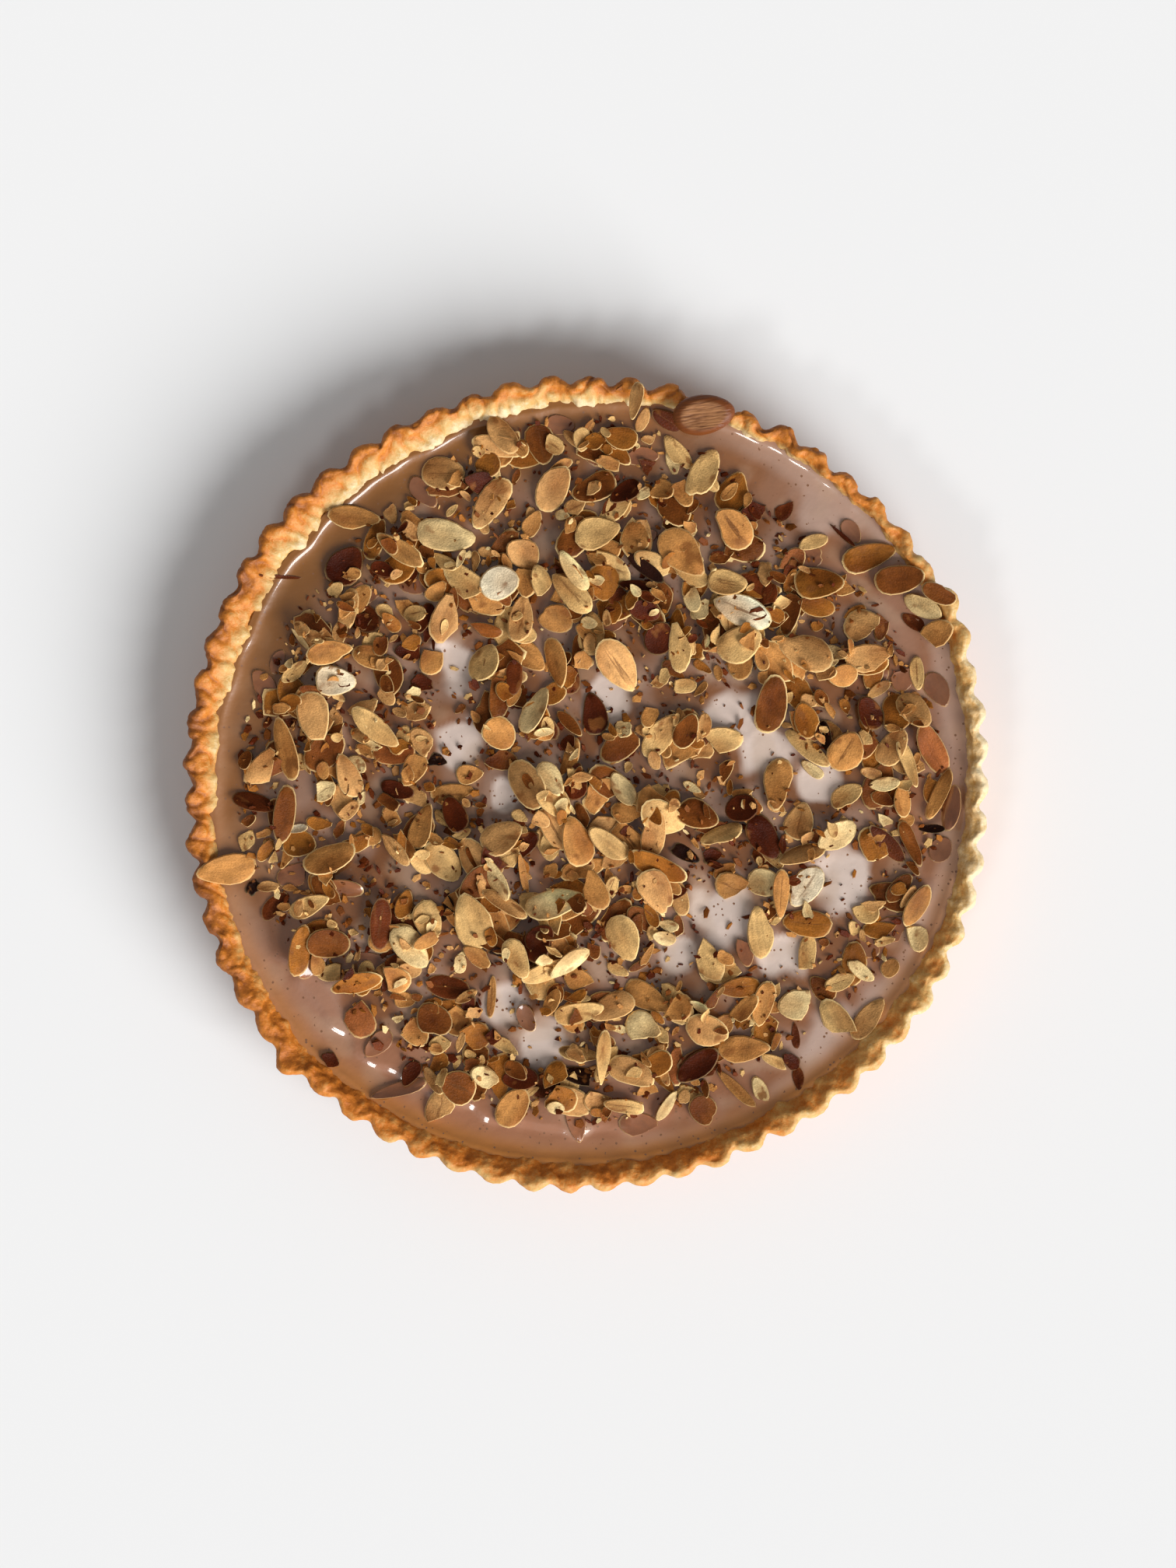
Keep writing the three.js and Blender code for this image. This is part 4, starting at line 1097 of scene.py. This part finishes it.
# -----------------------------------------------------------
# The slice of almond on the rim
# One thick cut slice that landed on the crust at the far side. Its brown skin still runs round
# its edge, and the cut face is finely furrowed by the blade.
# -----------------------------------------------------------
SLICE_LENGTH = 21
SLICE_WIDTH = 13.6
SLICE_THICKNESS = 5
FACE_FROM = 0.72
SLICE_TAPER = 0.12

cad_points = from_mesh(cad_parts["rim_almond"].data, "co") / MM
middle = (cad_points.max(axis=0) + cad_points.min(axis=0)) / 2
_, _, axes = np.linalg.svd(cad_points - cad_points.mean(axis=0), full_matrices=False)
axes[0] *= np.sign(axes[0, 0])
axes[2] *= np.sign(axes[2, 2])
axes[1] = np.cross(axes[2], axes[0])

slice_shape = bmesh.new()
bmesh.ops.create_uvsphere(slice_shape, u_segments=64, v_segments=32, radius=1)
slice_mesh = finished_mesh("rim_almond_slice", slice_shape)
ball = from_mesh(slice_mesh, "co")
flattened = np.clip(ball[:, 2] / FACE_FROM, -1, 1)
local = np.stack([ball[:, 0], ball[:, 1] * (1 - SLICE_TAPER * ball[:, 0]), flattened], axis=1)
local *= np.array([SLICE_LENGTH, SLICE_WIDTH, SLICE_THICKNESS]) / 2
from_middle = np.hypot(ball[:, 0], ball[:, 1])
local[:, 2] *= 1 - 0.16 * (1 - smoothstep(from_middle, 0.3, 0.75))
local += 0.12 * rough(local, 2.5, seed=8)[:, None] * ball
move_points(slice_mesh, (middle + local @ axes) * MM)
keep_values(slice_mesh, "face", 1 - smoothstep(from_middle, 0.66, 0.8))
keep_values(slice_mesh, "place", local, "FLOAT_VECTOR", "vector")

SKIN_BROWN = seen(120, 64, 28)
CUT_FACE = seen(168, 116, 74)
CUT_SHADE = seen(106, 64, 36)

slice_finish, tree, surface = new_finish("cut_almond_in_skin", Roughness=0.42, Specular_IOR_Level=0.25)
along_face = stretched(tree, attribute(tree, "place", "Vector"), (0.09, 0.75, 0.3))
furrows = grain(tree, along_face, 1.6, detail=3)
cut_colour = ramp(tree, furrows, [(0.35, CUT_SHADE), (0.62, CUT_FACE)])
colour = blend(tree, attribute(tree, "face"), SKIN_BROWN, cut_colour)
tree.links.new(colour, surface.inputs["Base Color"])
bump(tree, surface, furrows, 0.0006, 0.7)
rim_slice = finish_piece(slice_mesh, slice_finish)
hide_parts("rim_almond")

# -----------------------------------------------------------
# The table, the light and the camera
# A plain pale table, seen from straight above. A broad soft light comes from the near right, and
# a small one from the near left glints on the icing.
# -----------------------------------------------------------
TABLE_HALF = 4.0
TABLE_WHITE = (0.86, 0.86, 0.86, 1)
SKY_STRENGTH = 0.24
CAMERA_HEIGHT = 1.527
CAMERA_ACROSS = 0.00092
CAMERA_UP = 0.0001
LENS = 102.3
LIGHT_TURN = -46
LIGHT_UP = 30
GLINT_TURN = -118
GLINT_UP = 42

table_shape = bmesh.new()
bmesh.ops.create_grid(table_shape, x_segments=1, y_segments=1, size=TABLE_HALF)
table_mesh = finished_mesh("table", table_shape)
table_finish, _, surface = new_finish("white_table", Roughness=0.9, Specular_IOR_Level=0.1)
surface.inputs["Base Color"].default_value = TABLE_WHITE
table_mesh.materials.append(table_finish)
add_object("table", table_mesh)

scene = bpy.context.scene
scene.view_settings.view_transform = "Standard"
scene.world = bpy.data.worlds.new("soft_room")
scene.world.use_nodes = True
sky = scene.world.node_tree.nodes["Background"].inputs
sky["Color"].default_value = (1, 1, 1, 1)
sky["Strength"].default_value = SKY_STRENGTH


def add_light(name, energy, angle, turn, up):
    """A far light of the given width, at a turn and at a height over the table, in degrees."""
    light = bpy.data.lights.new(name, "SUN")
    light.energy = energy
    light.angle = math.radians(angle)
    turn, up = math.radians(turn), math.radians(up)
    to_light = Vector((*turned_by(math.cos(up), 0, turn), math.sin(up)))
    add_object(name, light).rotation_euler = to_light.to_track_quat("Z", "Y").to_euler()


add_light("window", energy=4.4, angle=38, turn=LIGHT_TURN, up=LIGHT_UP)
add_light("glint", energy=0.45, angle=10.5, turn=GLINT_TURN, up=GLINT_UP)

camera = bpy.data.cameras.new("camera")
camera.lens = LENS
camera.sensor_width = 36
scene.camera = add_object("camera", camera)
scene.camera.location = (CAMERA_ACROSS, CAMERA_UP, CAMERA_HEIGHT)
